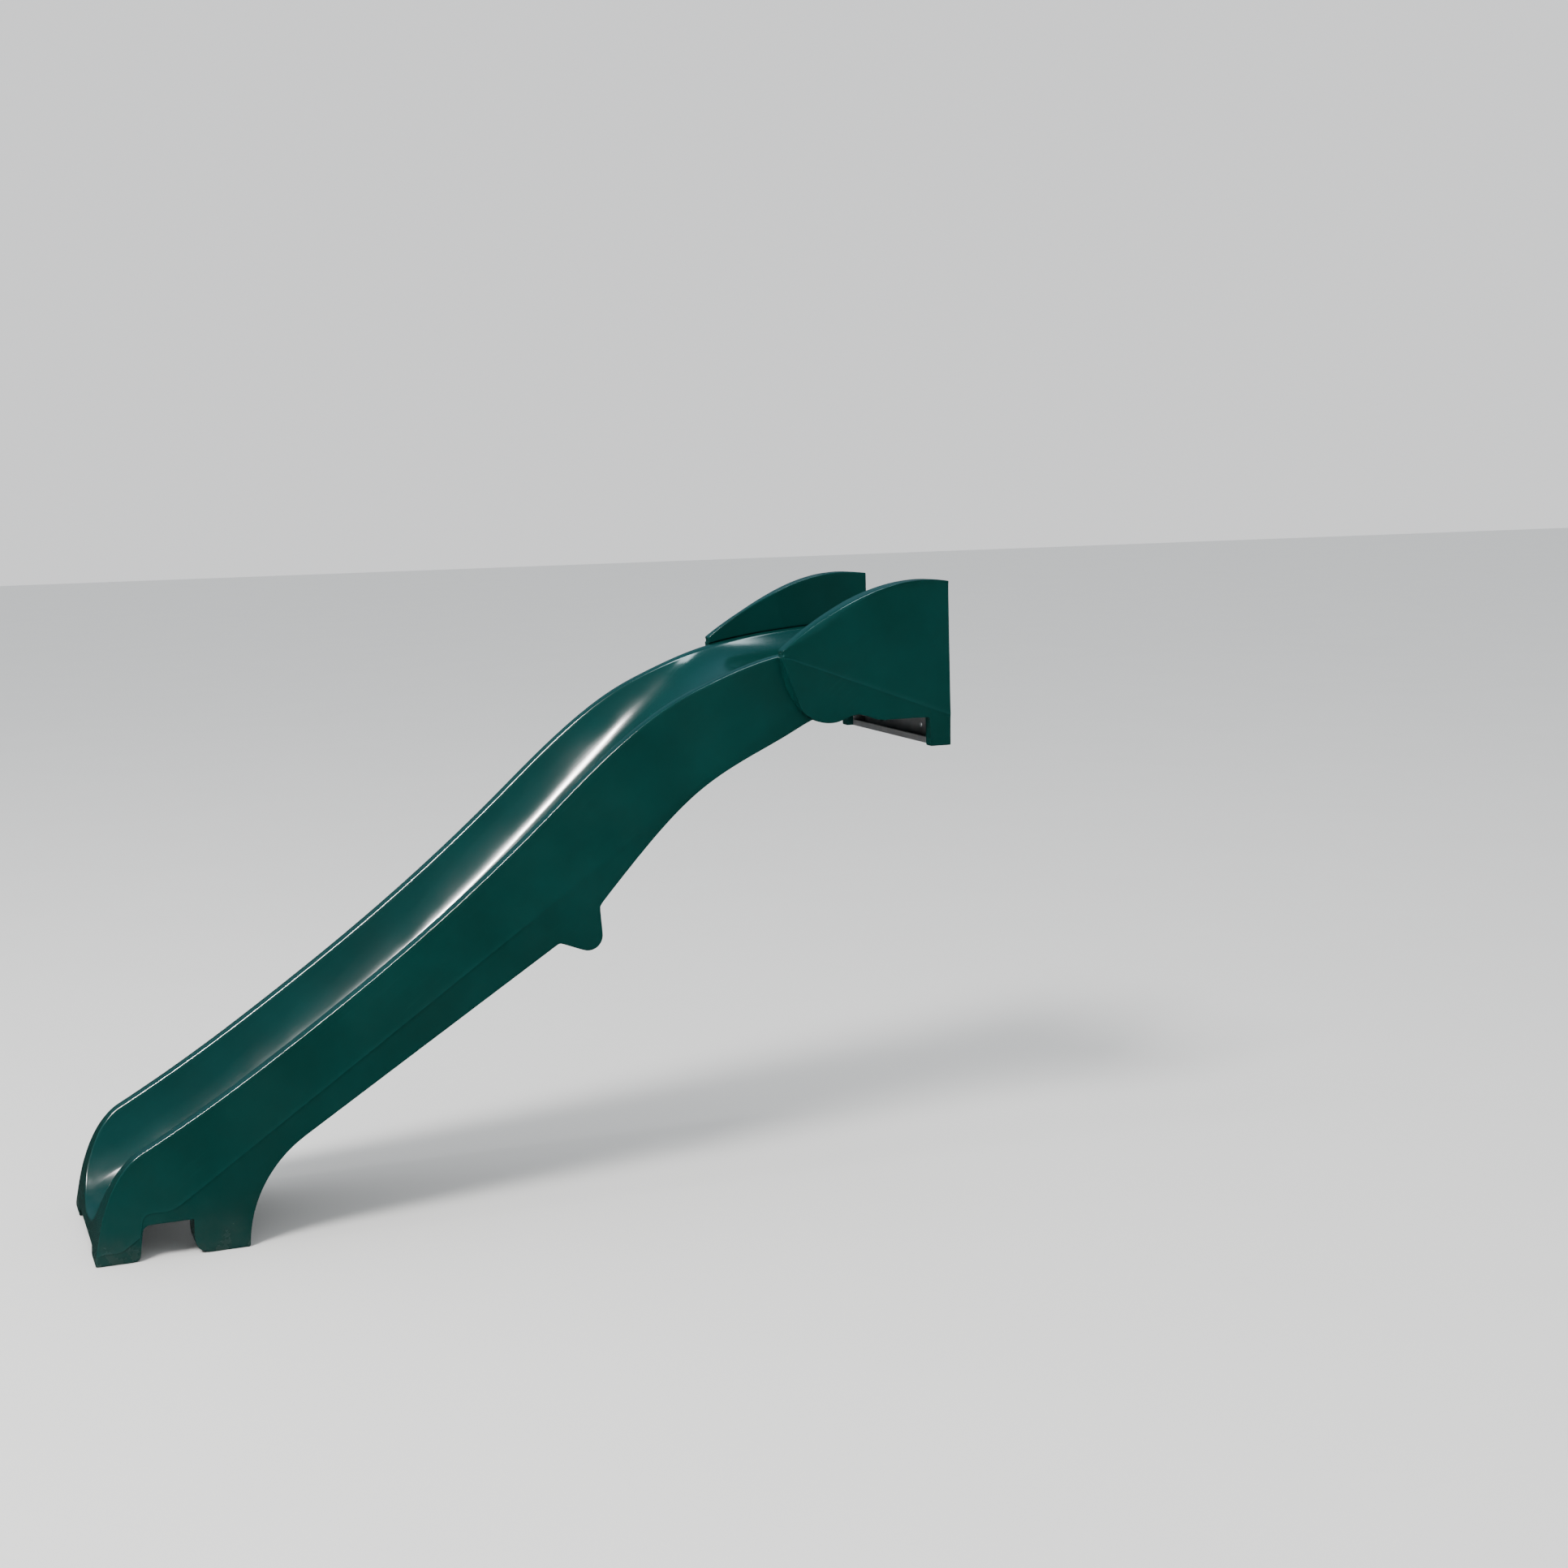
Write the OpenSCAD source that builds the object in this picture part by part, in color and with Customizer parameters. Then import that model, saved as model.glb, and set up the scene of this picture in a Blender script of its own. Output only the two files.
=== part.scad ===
/* [Overall] */
// Run of the slide, from the front of the foot to the deck face
run = 1808; // [1500:4:2200]
// Height of the sliding bed where it meets the deck
deck_h = 1075; // [900:5:1300]
// Width of the chute across its mould parting line
chute_w = 440; // [400:2:560]

/* [Wave] */
// Height of the bed at the exit lip
lip_h = 42; // [34:1:70]
// Width of the flat-topped rim on each side of the trough
rim_w = 35; // [24:1:44]
// Height of the rim over the ground where it starts, above the foot
rim_start_h = 212; // [180:1:260]
// Height of the rim over the bed at the deck
rim_over_deck = 72; // [40:1:110]
// Thickness of the double-walled bed
bed_t = 26; // [22:1:40]
// Width of each hollow side beam under the trough
beam_w = 84; // [70:1:110]
// Draft of the sides above the parting line, in degrees
draft_up = 4.3; // [1:0.1:6]
// Draft of the sides below the parting line, in degrees
draft_down = 3; // [1:0.1:5]

/* [Foot] */
// Length of the foot along the ground
foot_len = 297; // [260:1:360]
// Length of the front pad of the foot
pad_len = 86; // [60:1:110]
// Length of the notch between the two pads
notch_len = 104; // [80:1:120]
// Height of the notch
notch_h = 71; // [40:1:90]
// Radius of the hollow behind the foot
heel_r = 250; // [180:1:300]

/* [Guards] */
// Length of each guard along the slide
guard_len = 378; // [320:1:480]
// Height of the guard's top over the bed
guard_over_bed = 183; // [140:1:260]
// How far each guard stands out past the chute
guard_out = 30; // [24:1:50]
// Thickness of the part of the guard that hangs down outside the chute
skirt_t = 28; // [24:1:40]
// Thickness of the guard above the rim
guard_t = 46; // [40:1:64]
// Gap between a guard and the chute
guard_gap = 2; // [1:0.5:4]

/* [Mouldings] */
// Wall of the hollow mouldings
wall = 5; // [3:0.5:8]

/* [Hanger] */
// Thickness of the steel plates of the hanger
plate_t = 4; // [3:0.5:6]
// Height of the hanger's web below the bed
web_h = 144; // [120:1:200]
// Depth of the hanger's bottom flange
flange_d = 31; // [24:1:45]
// Depth of the hanger's top flange
seat_d = 70; // [56:1:90]
// Height of the lip on the bottom flange
lip_up = 13; // [8:1:24]
// Distance across the slide between the deck holes
deck_hole_y = 200; // [180:2:208]
// Distance between the upper and the lower deck holes
deck_hole_z = 75; // [50:1:80]
// Diameter of the deck holes
deck_hole_d = 11; // [9:0.5:14]

/* [Fixings] */
// Thread diameter of all the bolts
bolt_d = 8; // [6:1:10]
// Clearance on the diameter of a through hole
hole_clear = 1; // [0.5:0.1:1.5]
// Outer diameter of a threaded insert
insert_d = 14; // [12:0.5:16]
// Length of a threaded insert
insert_len = 15; // [12:0.5:18]

/* [Hidden] */

green = [0.04, 0.24, 0.22];
steel_grey = [0.24, 0.24, 0.25];
zinc = [0.72, 0.73, 0.72];
brass = [0.72, 0.56, 0.27];

half_w = chute_w / 2;
in_w = half_w - rim_w - 8;          // half width of the trough between the rims
beam_in = half_w - beam_w;          // half width of the open space under the bed
guard_x = run - guard_len;          // front tip of the guards
crest_x = guard_x + 10;             // where the bed turns level
toe_x = foot_len + 3;               // where the wave leaves the run-out
rise = deck_h - lip_h;
toe_h = lip_h + 136;                // height of the bed where the wave starts
under_h = deck_h - bed_t;           // underside of the bed at the deck
beam_end = run - 42;                // the side beams stop in front of the hanger
beam_low = deck_h - 90;             // lower edge of the side beams at the deck
web_low = under_h - web_h;          // lower edge of the hanger
guard_low = web_low + 62;           // lower edge of the guards
skirt_in = half_w + guard_gap;      // inner face of the guards beside the chute

// Cubic through two knots [x, height, slope]
function cubic(a, b, x) =
    let (h = b[0] - a[0], t = (x - a[0]) / h)
    (2 * t^3 - 3 * t^2 + 1) * a[1] + (t^3 - 2 * t^2 + t) * h * a[2]
    + (3 * t^2 - 2 * t^3) * b[1] + (t^3 - t^2) * h * b[2];

// Smooth curve through a row of knots, level with its ends beyond them
function curve(knots, x, i = 0) =
    x <= knots[0][0] ? knots[0][1] + knots[0][2] * (x - knots[0][0])
    : i >= len(knots) - 1 ? knots[i][1] + knots[i][2] * (x - knots[i][0])
    : x <= knots[i + 1][0] ? cubic(knots[i], knots[i + 1], x)
    : curve(knots, x, i + 1);

// Points of a curve from one x to another
function run_points(knots, x0, x1, n) =
    [for (i = [0:n]) let (x = x0 + (x1 - x0) * i / n) [x, curve(knots, x)]];

function arc(cx, cz, r, a0, a1, n) =
    [for (i = [0:n]) let (a = a0 + (a1 - a0) * i / n) [cx + r * cos(a), cz + r * sin(a)]];

// A knot of the wave: shares of its run and rise, and a slope against its mean slope
wave_run = crest_x - toe_x;
wave_rise = deck_h - toe_h;
function wave(u, v, s) =
    [toe_x + wave_run * u, toe_h + wave_rise * v, s * wave_rise / wave_run];

bed_knots = [[0, lip_h, 0.1], wave(0, 0, 0.84), wave(0.58, 0.571, 1.18),
             wave(0.833, 0.87, 1.06), wave(1, 1, 0), [run, deck_h, 0]];
rim_x = 99;
rim_knots = [[rim_x, rim_start_h, 0.535], wave(0.175, 0.322, 0.889), wave(0.57, 0.7224, 1.159),
             wave(0.825, 0.962, 0.55), wave(0.992, 1.037, 0.27),
             [run, deck_h + rim_over_deck, 0.05]];
edge_knots = [wave(0.642, 0.492, 1.43), wave(0.807, 0.711, 1.077), wave(1.036, 0.874, 0.715),
              [crest_x + 130, beam_low, 0]];

function bed_slope(x) = (curve(bed_knots, x + 1) - curve(bed_knots, x - 1)) / 2;

// Side view of the chute: foot, heel, straight edge, lug, curved edge, rim, front
lug = wave(0.62, 0.4225, 0);
lug_r = 30;
lug_foot = [lug[0] - 62, lug[1] - 8];  // where the straight edge ends, in front of the lug
heel_end = 57;                      // angle that the heel's arc turns through
toe_r = 12;
notch_r = 15;
pad_r = 28;                         // front corner of the rear pad
lip_r = 7;
edge_end_x = crest_x + 130;
front_curve = [[0, lip_r], [12, 80], [34, rim_start_h - 34], [rim_x, rim_start_h]];
function bezier(p, t) = p[0] * (1 - t)^3 + 3 * p[1] * t * (1 - t)^2
                      + 3 * p[2] * t^2 * (1 - t) + p[3] * t^3;
chute_outline = concat(
    arc(lip_r, lip_r, lip_r, 180, 270, 4),
    arc(foot_len + heel_r, 0, heel_r, 180, 180 - heel_end, 14),
    [lug_foot],
    arc(lug[0], lug[1], lug_r, -112, 30, 12),
    [for (k = [0:19]) let (x = edge_knots[0][0] + (edge_end_x - edge_knots[0][0]) * k / 19)
        [x, curve(edge_knots, x)]],
    [[beam_end, beam_low], [beam_end, under_h], [run, under_h]],
    run_points(rim_knots, run, rim_x, 44),
    [for (i = [9:-1:1]) bezier(front_curve, i / 10)]);

module chute_side_shape() polygon(chute_outline);

// Side view of the notch that parts the foot of each beam into two pads
notch_end = pad_len + notch_len;
module notch_shape() {
    polygon(concat(
        [[pad_len - toe_r, -20], [pad_len - toe_r, 0]],
        arc(pad_len - toe_r, toe_r, toe_r, 275, 355, 5),
        arc(pad_len + notch_r + 5, notch_h - notch_r, notch_r, 180, 90, 5),
        [[notch_end, notch_h]], arc(notch_end + pad_r, pad_r, pad_r, 180, 265, 8),
        [[notch_end + pad_r, 0], [notch_end + pad_r, -20]]));
}

// Extrudes a side view across the slide between two places
module across(y0, y1) {
    translate([0, y1, 0]) rotate([90, 0, 0]) linear_extrude(y1 - y0) children();
}

// Six-sided bar along the parting line, which gives both drafts to the sides
crease_slope = 34.6;
crease_x = toe_x + 101;
crease_z = toe_h + 89;
module draft_bar(inset) {
    w = half_w - inset;
    up = 420;
    down = 520;
    translate([crease_x, 0, crease_z]) rotate([0, -crease_slope, 0]) rotate([90, 0, 90])
        translate([0, 0, -900]) linear_extrude(3000)
            polygon([[-w, 0], [-w + down * tan(draft_down), -down],
                     [w - down * tan(draft_down), -down], [w, 0],
                     [w - up * tan(draft_up), up], [-w + up * tan(draft_up), up]]);
}

// Surface of the trough at a station, moved down into the moulding by grow
trough_power = 3;
trough_steps = 22;
top_z = deck_h + 500;                // over every solid
function trough_point(x, s, grow) =
    let (w = s * (in_w + 6), bed = curve(bed_knots, x), depth = curve(rim_knots, x) - bed,
         share = abs(w) / in_w,
         slope = trough_power * depth / in_w * share^(trough_power - 1) * sign(w),
         len = sqrt(1 + slope^2 + bed_slope(x)^2))
    [x, w + grow * slope / len, bed + depth * share^trough_power
        - grow * sqrt(1 + bed_slope(x)^2) * sqrt(1 + bed_slope(x)^2) / len];
function trough_ring(x, grow) = concat(
    [[x, -(in_w + 6 + grow), top_z]],
    [for (j = [0:trough_steps]) trough_point(x, 2 * j / trough_steps - 1, grow)],
    [[x, in_w + 6 + grow, top_z]]);

// A solid whose rings all have the same number of points
module skin(rings) {
    n = len(rings[0]);
    m = len(rings);
    polyhedron(
        points = [for (r = rings) for (p = r) p],
        faces = concat(
            [[for (j = [0:n - 1]) j]],
            [for (i = [0:m - 2]) for (j = [0:n - 1]) let (k = (j + 1) % n)
                each [[i * n + j, (i + 1) * n + j, (i + 1) * n + k],
                      [i * n + j, (i + 1) * n + k, i * n + k]]],
            [[for (j = [n - 1:-1:0]) (m - 1) * n + j]]));
}

module trough_space(grow) {
    stations = concat([-60], [for (i = [0:7]) i * toe_x / 8],
                      [for (i = [0:24]) toe_x + wave_run * i / 24], [run - 180, run + 60]);
    skin([for (x = stations) trough_ring(x, grow)]);
}

// Open space under the bed between the two side beams
module under_space(grow) {
    across(-beam_in - grow, beam_in + grow)
        polygon(concat([[-60, -60]],
            [for (i = [0:34]) let (x = -60 + (run + 120) * i / 34)
                [x, curve(bed_knots, x) - bed_t + grow * sqrt(1 + bed_slope(x)^2)]],
            [[run + 60, -60]]));
}

guard_bolt_x = [run - 308, run - 208, run - 108];
guard_bolt_z = beam_low + 28;
seat_bolt_y = [-105, -35, 35, 105];
seat_bolt_x = run - 43;
tab_bolt_x = run - 20;
tab_bolt_z = web_low + 34;
vent_x = foot_len - 40;
vent_r = 8;
guard_vent_x = run - 150;
guard_vent_r = 5;
bolt_tube_r = (bolt_d + hole_clear) / 2 + 8.5;  // solid round a bolt that crosses a side beam
boss_r = insert_d / 2 + 4;          // solid round an insert inside a hollow moulding

// A bar along +Y from y0 to y1
module bar_y(x, y0, y1, z, r) {
    translate([x, y0, z]) rotate([-90, 0, 0]) cylinder(r = r, h = y1 - y0, $fn = 48);
}

module each_side() {
    children();
    mirror([0, 1, 0]) children();
}

module chute_void() {
    difference() {
        intersection() {
            across(-half_w, half_w) offset(delta = -wall) chute_side_shape();
            draft_bar(wall);
        }
        trough_space(wall);
        under_space(wall);
        each_side() {
            for (x = guard_bolt_x) bar_y(x, -half_w, -beam_in, guard_bolt_z, bolt_tube_r);
            across(-half_w, -beam_in) offset(delta = wall) notch_shape();
        }
        for (y = seat_bolt_y) translate([seat_bolt_x, y, under_h])
            cylinder(r = boss_r, h = insert_len + 4, $fn = 48);
    }
}

module chute() {
    color(green) difference() {
        intersection() {
            across(-half_w, half_w) chute_side_shape();
            draft_bar(0);
        }
        trough_space(0);
        under_space(0);
        chute_void();
        each_side() {
            across(-half_w - 1, -beam_in + 1) notch_shape();
            for (x = guard_bolt_x)
                bar_y(x, -half_w - 1, 0, guard_bolt_z, (bolt_d + hole_clear) / 2);
            bar_y(vent_x, -beam_in - wall - 1, -beam_in + 1, notch_h, vent_r);
        }
        for (y = seat_bolt_y) translate([seat_bolt_x, y, under_h - 1])
            cylinder(r = insert_d / 2, h = insert_len + 1, $fn = 48);
    }
}

// Side view of a guard: tab, lower edge with its hand hold, round front, top, back
guard_top = deck_h + guard_over_bed;
tip_h = deck_h + 48;
function guard_at(d) = guard_x + d;
front_rx = 103;
front_z = tip_h - 10;
front_rz = front_z - guard_low;
guard_corner_r = 8;
tab_len = 47;
tab_r = 6;                          // inner corner where the tab drops from the lower edge
guard_knots = [[guard_x, tip_h, 0.8], [guard_at(156), guard_top - 40, 0.46],
               [guard_at(315), guard_top, 0.02], [run, guard_top - 4, -0.12]];
hold_x = guard_at(166);
hold_h = 15;
hold_half = 56;
guard_outline = concat(
    [[run, web_low], [run, guard_top - 10]],
    arc(run - guard_corner_r, guard_top - 4 - guard_corner_r, guard_corner_r, 15, 80, 4),
    run_points(guard_knots, run - 14, guard_x + 5, 26),
    [for (i = [0:18]) let (a = 180 + 90 * i / 18)
        [guard_x + front_rx + front_rx * cos(a), front_z + front_rz * sin(a)]],
    [for (i = [-8:8]) [hold_x + hold_half * i / 8, guard_low + hold_h * (1 + cos(22.5 * i)) / 2]],
    [[run - tab_len - tab_r, guard_low]],
    arc(run - tab_len - tab_r, guard_low - tab_r, tab_r, 90, 0, 4), [[run - tab_len, web_low]]);

module guard_side_shape() polygon([for (i = [len(guard_outline) - 1:-1:0]) guard_outline[i]]);

// The part of the side view that lies above the rim of the chute
module above_rim(lift) {
    polygon(concat([for (p = run_points(rim_knots, guard_x - 60, run + 60, 30)) p + [0, lift]],
                   [[run + 60, top_z], [guard_x - 60, top_z]]));
}

// The inner face falls back towards the tip, in front of a kink
kink_x = guard_at(165);
flare = 14;                         // how far it has fallen back at the tip
module flare_cut(inset) {
    y = -half_w - guard_out + guard_t - inset;
    translate([0, 0, tip_h - 400]) linear_extrude(900)
        polygon([[kink_x, y], [kink_x, y + guard_t], [guard_x - 60, y + guard_t],
                 [guard_x - 60, y - flare * (kink_x - guard_x + 60) / (kink_x - guard_x)]]);
}

module guard_body(inset) {
    across(-skirt_in - skirt_t + inset, -skirt_in - inset)
        offset(delta = -inset) guard_side_shape();
    difference() {
        across(-half_w - guard_out + inset, -half_w - guard_out + guard_t - inset) intersection() {
            offset(delta = -inset) guard_side_shape();
            above_rim(guard_gap + inset);
        }
        flare_cut(inset);
    }
}

// The left guard, on the -Y side
module guard() {
    difference() {
        guard_body(0);
        difference() {
            guard_body(wall);
            for (x = guard_bolt_x)
                bar_y(x, -skirt_in - insert_len - 9, -skirt_in, guard_bolt_z, boss_r);
            bar_y(tab_bolt_x, -skirt_in - insert_len - 9, -skirt_in, tab_bolt_z, boss_r);
        }
        for (x = guard_bolt_x)
            bar_y(x, -skirt_in - insert_len, -skirt_in + 1, guard_bolt_z, insert_d / 2);
        bar_y(tab_bolt_x, -skirt_in - insert_len, -skirt_in + 1, tab_bolt_z, insert_d / 2);
        translate([guard_vent_x, -skirt_in - skirt_t / 2, guard_low - 1])
            cylinder(r = guard_vent_r, h = wall + 2, $fn = 32);
    }
}

module left_guard() { color(green) guard(); }
module right_guard() { color(green) mirror([0, 1, 0]) guard(); }

// Steel cross bracket: web on the deck face, seat under the bed, bottom flange with a lip
web_half = skirt_in - plate_t;
module hanger_bracket() {
    color(steel_grey) difference() {
        union() {
            across(-web_half, web_half) polygon([
                [run, web_low], [run, beam_low - 2], [run - plate_t, beam_low - 2],
                [run - plate_t, web_low + plate_t], [run - flange_d + plate_t, web_low + plate_t],
                [run - flange_d + plate_t, web_low + lip_up], [run - flange_d, web_low + lip_up],
                [run - flange_d, web_low]]);
            across(-beam_in + 2, beam_in - 2) polygon([
                [run, beam_low - 2], [run, under_h], [run - seat_d, under_h],
                [run - seat_d, under_h - plate_t], [run - plate_t, under_h - plate_t],
                [run - plate_t, beam_low - 2]]);
        }
        for (y = [-0.5, 0.5] * deck_hole_y, z = [0, deck_hole_z])
            translate([run - plate_t - 1, y, web_low + 30 + z]) rotate([0, 90, 0])
                cylinder(d = deck_hole_d, h = plate_t + 2, $fn = 48);
        for (y = seat_bolt_y) translate([seat_bolt_x, y, under_h - plate_t - 1])
            cylinder(d = bolt_d + hole_clear, h = plate_t + 2, $fn = 48);
    }
}

gusset_y = [-70, 70];
gusset_low = under_h - 62;
gusset_front = run - seat_d + 4;
gusset_nib = [6, 8];                // its blunt ends, down the web and at the front
module hanger_gussets() {
    top = under_h - plate_t;
    color(steel_grey) for (y = gusset_y) across(y - plate_t / 2, y + plate_t / 2)
        polygon([[run - plate_t, top], [gusset_front, top], [gusset_front, top - gusset_nib[1]],
                 [run - plate_t - gusset_nib[0], gusset_low], [run - plate_t, gusset_low]]);
}

end_drop = 18;                      // its top edge falls to this far under the beams
module hanger_end_plates() {
    color(steel_grey) each_side() difference() {
        across(-web_half - plate_t, -web_half)
            polygon([[run, web_low], [run, beam_low - 2], [run - flange_d, beam_low - end_drop],
                     [run - flange_d, web_low]]);
        bar_y(tab_bolt_x, -web_half - plate_t - 1, -web_half + 1, tab_bolt_z,
              (bolt_d + hole_clear) / 2);
    }
}

// A flanged hexagon bolt along +Z: its head ends at z = 0 and its shank goes up
head_h = 6;
washer_t = 1.6;
module bolt(length) {
    translate([0, 0, -head_h]) cylinder(d = bolt_d * 1.875, h = head_h, $fn = 6);
    translate([0, 0, -1]) cylinder(d = bolt_d - 0.1, h = length + 1, $fn = 48);
}

module washer() {
    difference() {
        cylinder(d = bolt_d * 2.4, h = washer_t, $fn = 48);
        translate([0, 0, -1]) cylinder(d = bolt_d + 0.4, h = washer_t + 2, $fn = 48);
    }
}

// A threaded insert along +Z, closed at its far end
module insert() {
    difference() {
        cylinder(d = insert_d, h = insert_len, $fn = 48);
        translate([0, 0, -1]) cylinder(d = bolt_d, h = insert_len - 1, $fn = 48);
    }
}

module at_seats() {
    for (y = seat_bolt_y) translate([seat_bolt_x, y, under_h]) children();
}
module at_guard_bolts() {
    each_side() for (x = guard_bolt_x)
        translate([x, -skirt_in, guard_bolt_z]) rotate([90, 0, 0]) children();
}
module at_tabs() {
    each_side() translate([tab_bolt_x, -skirt_in, tab_bolt_z]) rotate([90, 0, 0]) children();
}

grip = beam_w + guard_gap;          // from the guard's inner face to the beam's inner face
module seat_bolts() {
    color(zinc) at_seats() translate([0, 0, -plate_t - washer_t])
        bolt(plate_t + washer_t + insert_len - 4);
}
module seat_washers() { color(zinc) at_seats() translate([0, 0, -plate_t - washer_t]) washer(); }
module seat_inserts() { color(brass) at_seats() insert(); }
module guard_bolts() {
    color(zinc) at_guard_bolts() translate([0, 0, -grip - washer_t])
        bolt(grip + washer_t + insert_len - 4);
}
module guard_washers() {
    color(zinc) at_guard_bolts() translate([0, 0, -grip - washer_t]) washer();
}
module guard_inserts() { color(brass) at_guard_bolts() insert(); }
module tab_bolts() {
    color(zinc) at_tabs() translate([0, 0, -plate_t - washer_t])
        bolt(plate_t + washer_t + insert_len - 4);
}
module tab_washers() { color(zinc) at_tabs() translate([0, 0, -plate_t - washer_t]) washer(); }
module tab_inserts() { color(brass) at_tabs() insert(); }

// Push-in plugs of the vent holes that the hollow mouldings are cooled through
module plug(r, grip_len) {
    translate([0, 0, -2.5]) cylinder(r = r + 3, h = 2.5, $fn = 48);
    translate([0, 0, -1]) cylinder(r = r - 0.1, h = grip_len + 1, $fn = 48);
}
module vent_plugs() {
    color("black") each_side() {
        translate([vent_x, -beam_in, notch_h]) rotate([90, 0, 0]) plug(vent_r, wall + 3);
        translate([guard_vent_x, -skirt_in - skirt_t / 2, guard_low]) plug(guard_vent_r, wall + 3);
    }
}

// The origin is on the ground under the middle of the slide
module placed() { translate([-run / 2, 0, 0]) children(); }

placed() chute();
placed() left_guard();
placed() right_guard();
placed() hanger_bracket();
placed() hanger_gussets();
placed() hanger_end_plates();
placed() seat_bolts();
placed() seat_washers();
placed() seat_inserts();
placed() guard_bolts();
placed() guard_washers();
placed() guard_inserts();
placed() tab_bolts();
placed() tab_washers();
placed() tab_inserts();
placed() vent_plugs();
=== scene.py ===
"""Looks of a moulded wave slide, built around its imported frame.

The chute and the two side guards get smooth skins with rounded edges in place of their plain solids. The
steel hanger, the fixings and the vent plugs keep their own meshes and get worked finishes, and the hanger
gets its welds. All sizes are metres. Stations along the slide are counted from the front of its foot.
"""
import logging
import math
from collections.abc import Callable, Sequence
from dataclasses import dataclass, field
from enum import Enum
from functools import cached_property

import bmesh
import bpy
from mathutils import Matrix, Vector


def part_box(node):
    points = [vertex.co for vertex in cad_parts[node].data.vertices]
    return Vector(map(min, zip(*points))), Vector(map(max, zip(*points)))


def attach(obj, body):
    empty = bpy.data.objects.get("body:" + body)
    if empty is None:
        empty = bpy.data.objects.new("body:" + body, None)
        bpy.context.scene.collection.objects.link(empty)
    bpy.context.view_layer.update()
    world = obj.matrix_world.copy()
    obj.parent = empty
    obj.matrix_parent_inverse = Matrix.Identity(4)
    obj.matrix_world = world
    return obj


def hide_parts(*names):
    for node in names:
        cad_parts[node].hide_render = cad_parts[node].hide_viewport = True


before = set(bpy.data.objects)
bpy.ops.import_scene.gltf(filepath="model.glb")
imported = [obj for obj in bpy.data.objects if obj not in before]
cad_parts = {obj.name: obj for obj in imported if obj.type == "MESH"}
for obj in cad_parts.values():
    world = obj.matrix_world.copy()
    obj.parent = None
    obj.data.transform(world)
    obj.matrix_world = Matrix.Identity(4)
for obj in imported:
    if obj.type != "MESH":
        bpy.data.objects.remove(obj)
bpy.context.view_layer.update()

LOG = logging.getLogger("wave_slide")
BODY = "root"

Flat = tuple[float, float]                  # station and height, or another pair of sizes
Point = tuple[float, float, float]          # a place, a colour, or a knot of a curve
Paired = tuple[Flat, float]                 # a point of an outline and its place on the line above
Socket = bpy.types.NodeSocket


class Side(Enum):
    """The two sides of the slide, as the sign of y."""

    LEFT = -1
    RIGHT = 1


class Slot(Enum):
    """The record's material slots."""

    GREEN = "moulded_green"
    STEEL = "coated_steel"
    ZINC = "zinc_steel"
    BRASS = "insert_brass"
    PLUG = "plug_black"


# ------------------------------------------------------------------------------------ plain geometry


def mix(a: Sequence[float], b: Sequence[float], share: float) -> tuple[float, ...]:
    """The point at a share of the way from a to b."""
    return tuple(p + (q - p) * share for p, q in zip(a, b))


def clamp(value: float, low: float, high: float) -> float:
    """The value held between two limits."""
    return max(low, min(high, value))


def arc(centre: Flat, radius: float, start: float, end: float, steps: int) -> list[Flat]:
    """Points of an arc in a side view.

    Args:
        centre: Its centre, along and up.
        radius: Its radius.
        start: Angle of its first point, in degrees.
        end: Angle of its last point, in degrees.
        steps: How many steps it takes.

    Returns:
        The points, with both ends.
    """
    angles = [math.radians(start + (end - start) * i / steps) for i in range(steps + 1)]
    return [(centre[0] + radius * math.cos(a), centre[1] + radius * math.sin(a)) for a in angles]


def even_line(a: Flat, b: Flat, steps: int, hold_a: float = 0.0, hold_b: float = 0.0) -> list[Flat]:
    """Points of a straight line, with an extra one close to an end that is to stay crisp.

    Args:
        a: Its first point.
        b: Its last point.
        steps: How many even steps it takes.
        hold_a: Distance of an extra point from a, or 0 for none.
        hold_b: Distance of an extra point from b, or 0 for none.

    Returns:
        The points, with both ends.
    """
    length = math.dist(a, b)
    shares = {i / steps for i in range(steps + 1)}
    if hold_a:
        shares.add(hold_a / length)
    if hold_b:
        shares.add(1 - hold_b / length)
    return [mix(a, b, s) for s in sorted(shares)]


def held_shares(length: float, inner: Sequence[float], hold: float) -> list[float]:
    """Shares across a strip, with one close to each edge so that the edge stays crisp.

    Args:
        length: Width of the strip.
        inner: Shares between those two, as parts of what lies between them.
        hold: Distance of the outer two from the edges.

    Returns:
        The shares from 0 to 1.
    """
    near = clamp(hold / max(length, 1e-6), 0.02, 0.3)
    return [0.0, near, *(near + (1 - 2 * near) * s for s in inner), 1 - near, 1.0]


def pair_up(start: Paired, spans: Sequence[tuple[list[Flat], float]]) -> list[Paired]:
    """Walks along a lower outline and pairs each of its points with a place on the line above.

    Args:
        start: The first point with its place.
        spans: Stretches of the outline, each with the place that its last point is paired with.

    Returns:
        The points with their places.
    """
    pairs = [start]
    for points, last in spans:
        steps = list(zip(points, points[1:]))
        first, length, gone = pairs[-1][1], sum(math.dist(a, b) for a, b in steps), 0.0
        for a, b in steps:
            gone += math.dist(a, b)
            pairs.append((b, first + (last - first) * gone / length))
    return pairs


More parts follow.
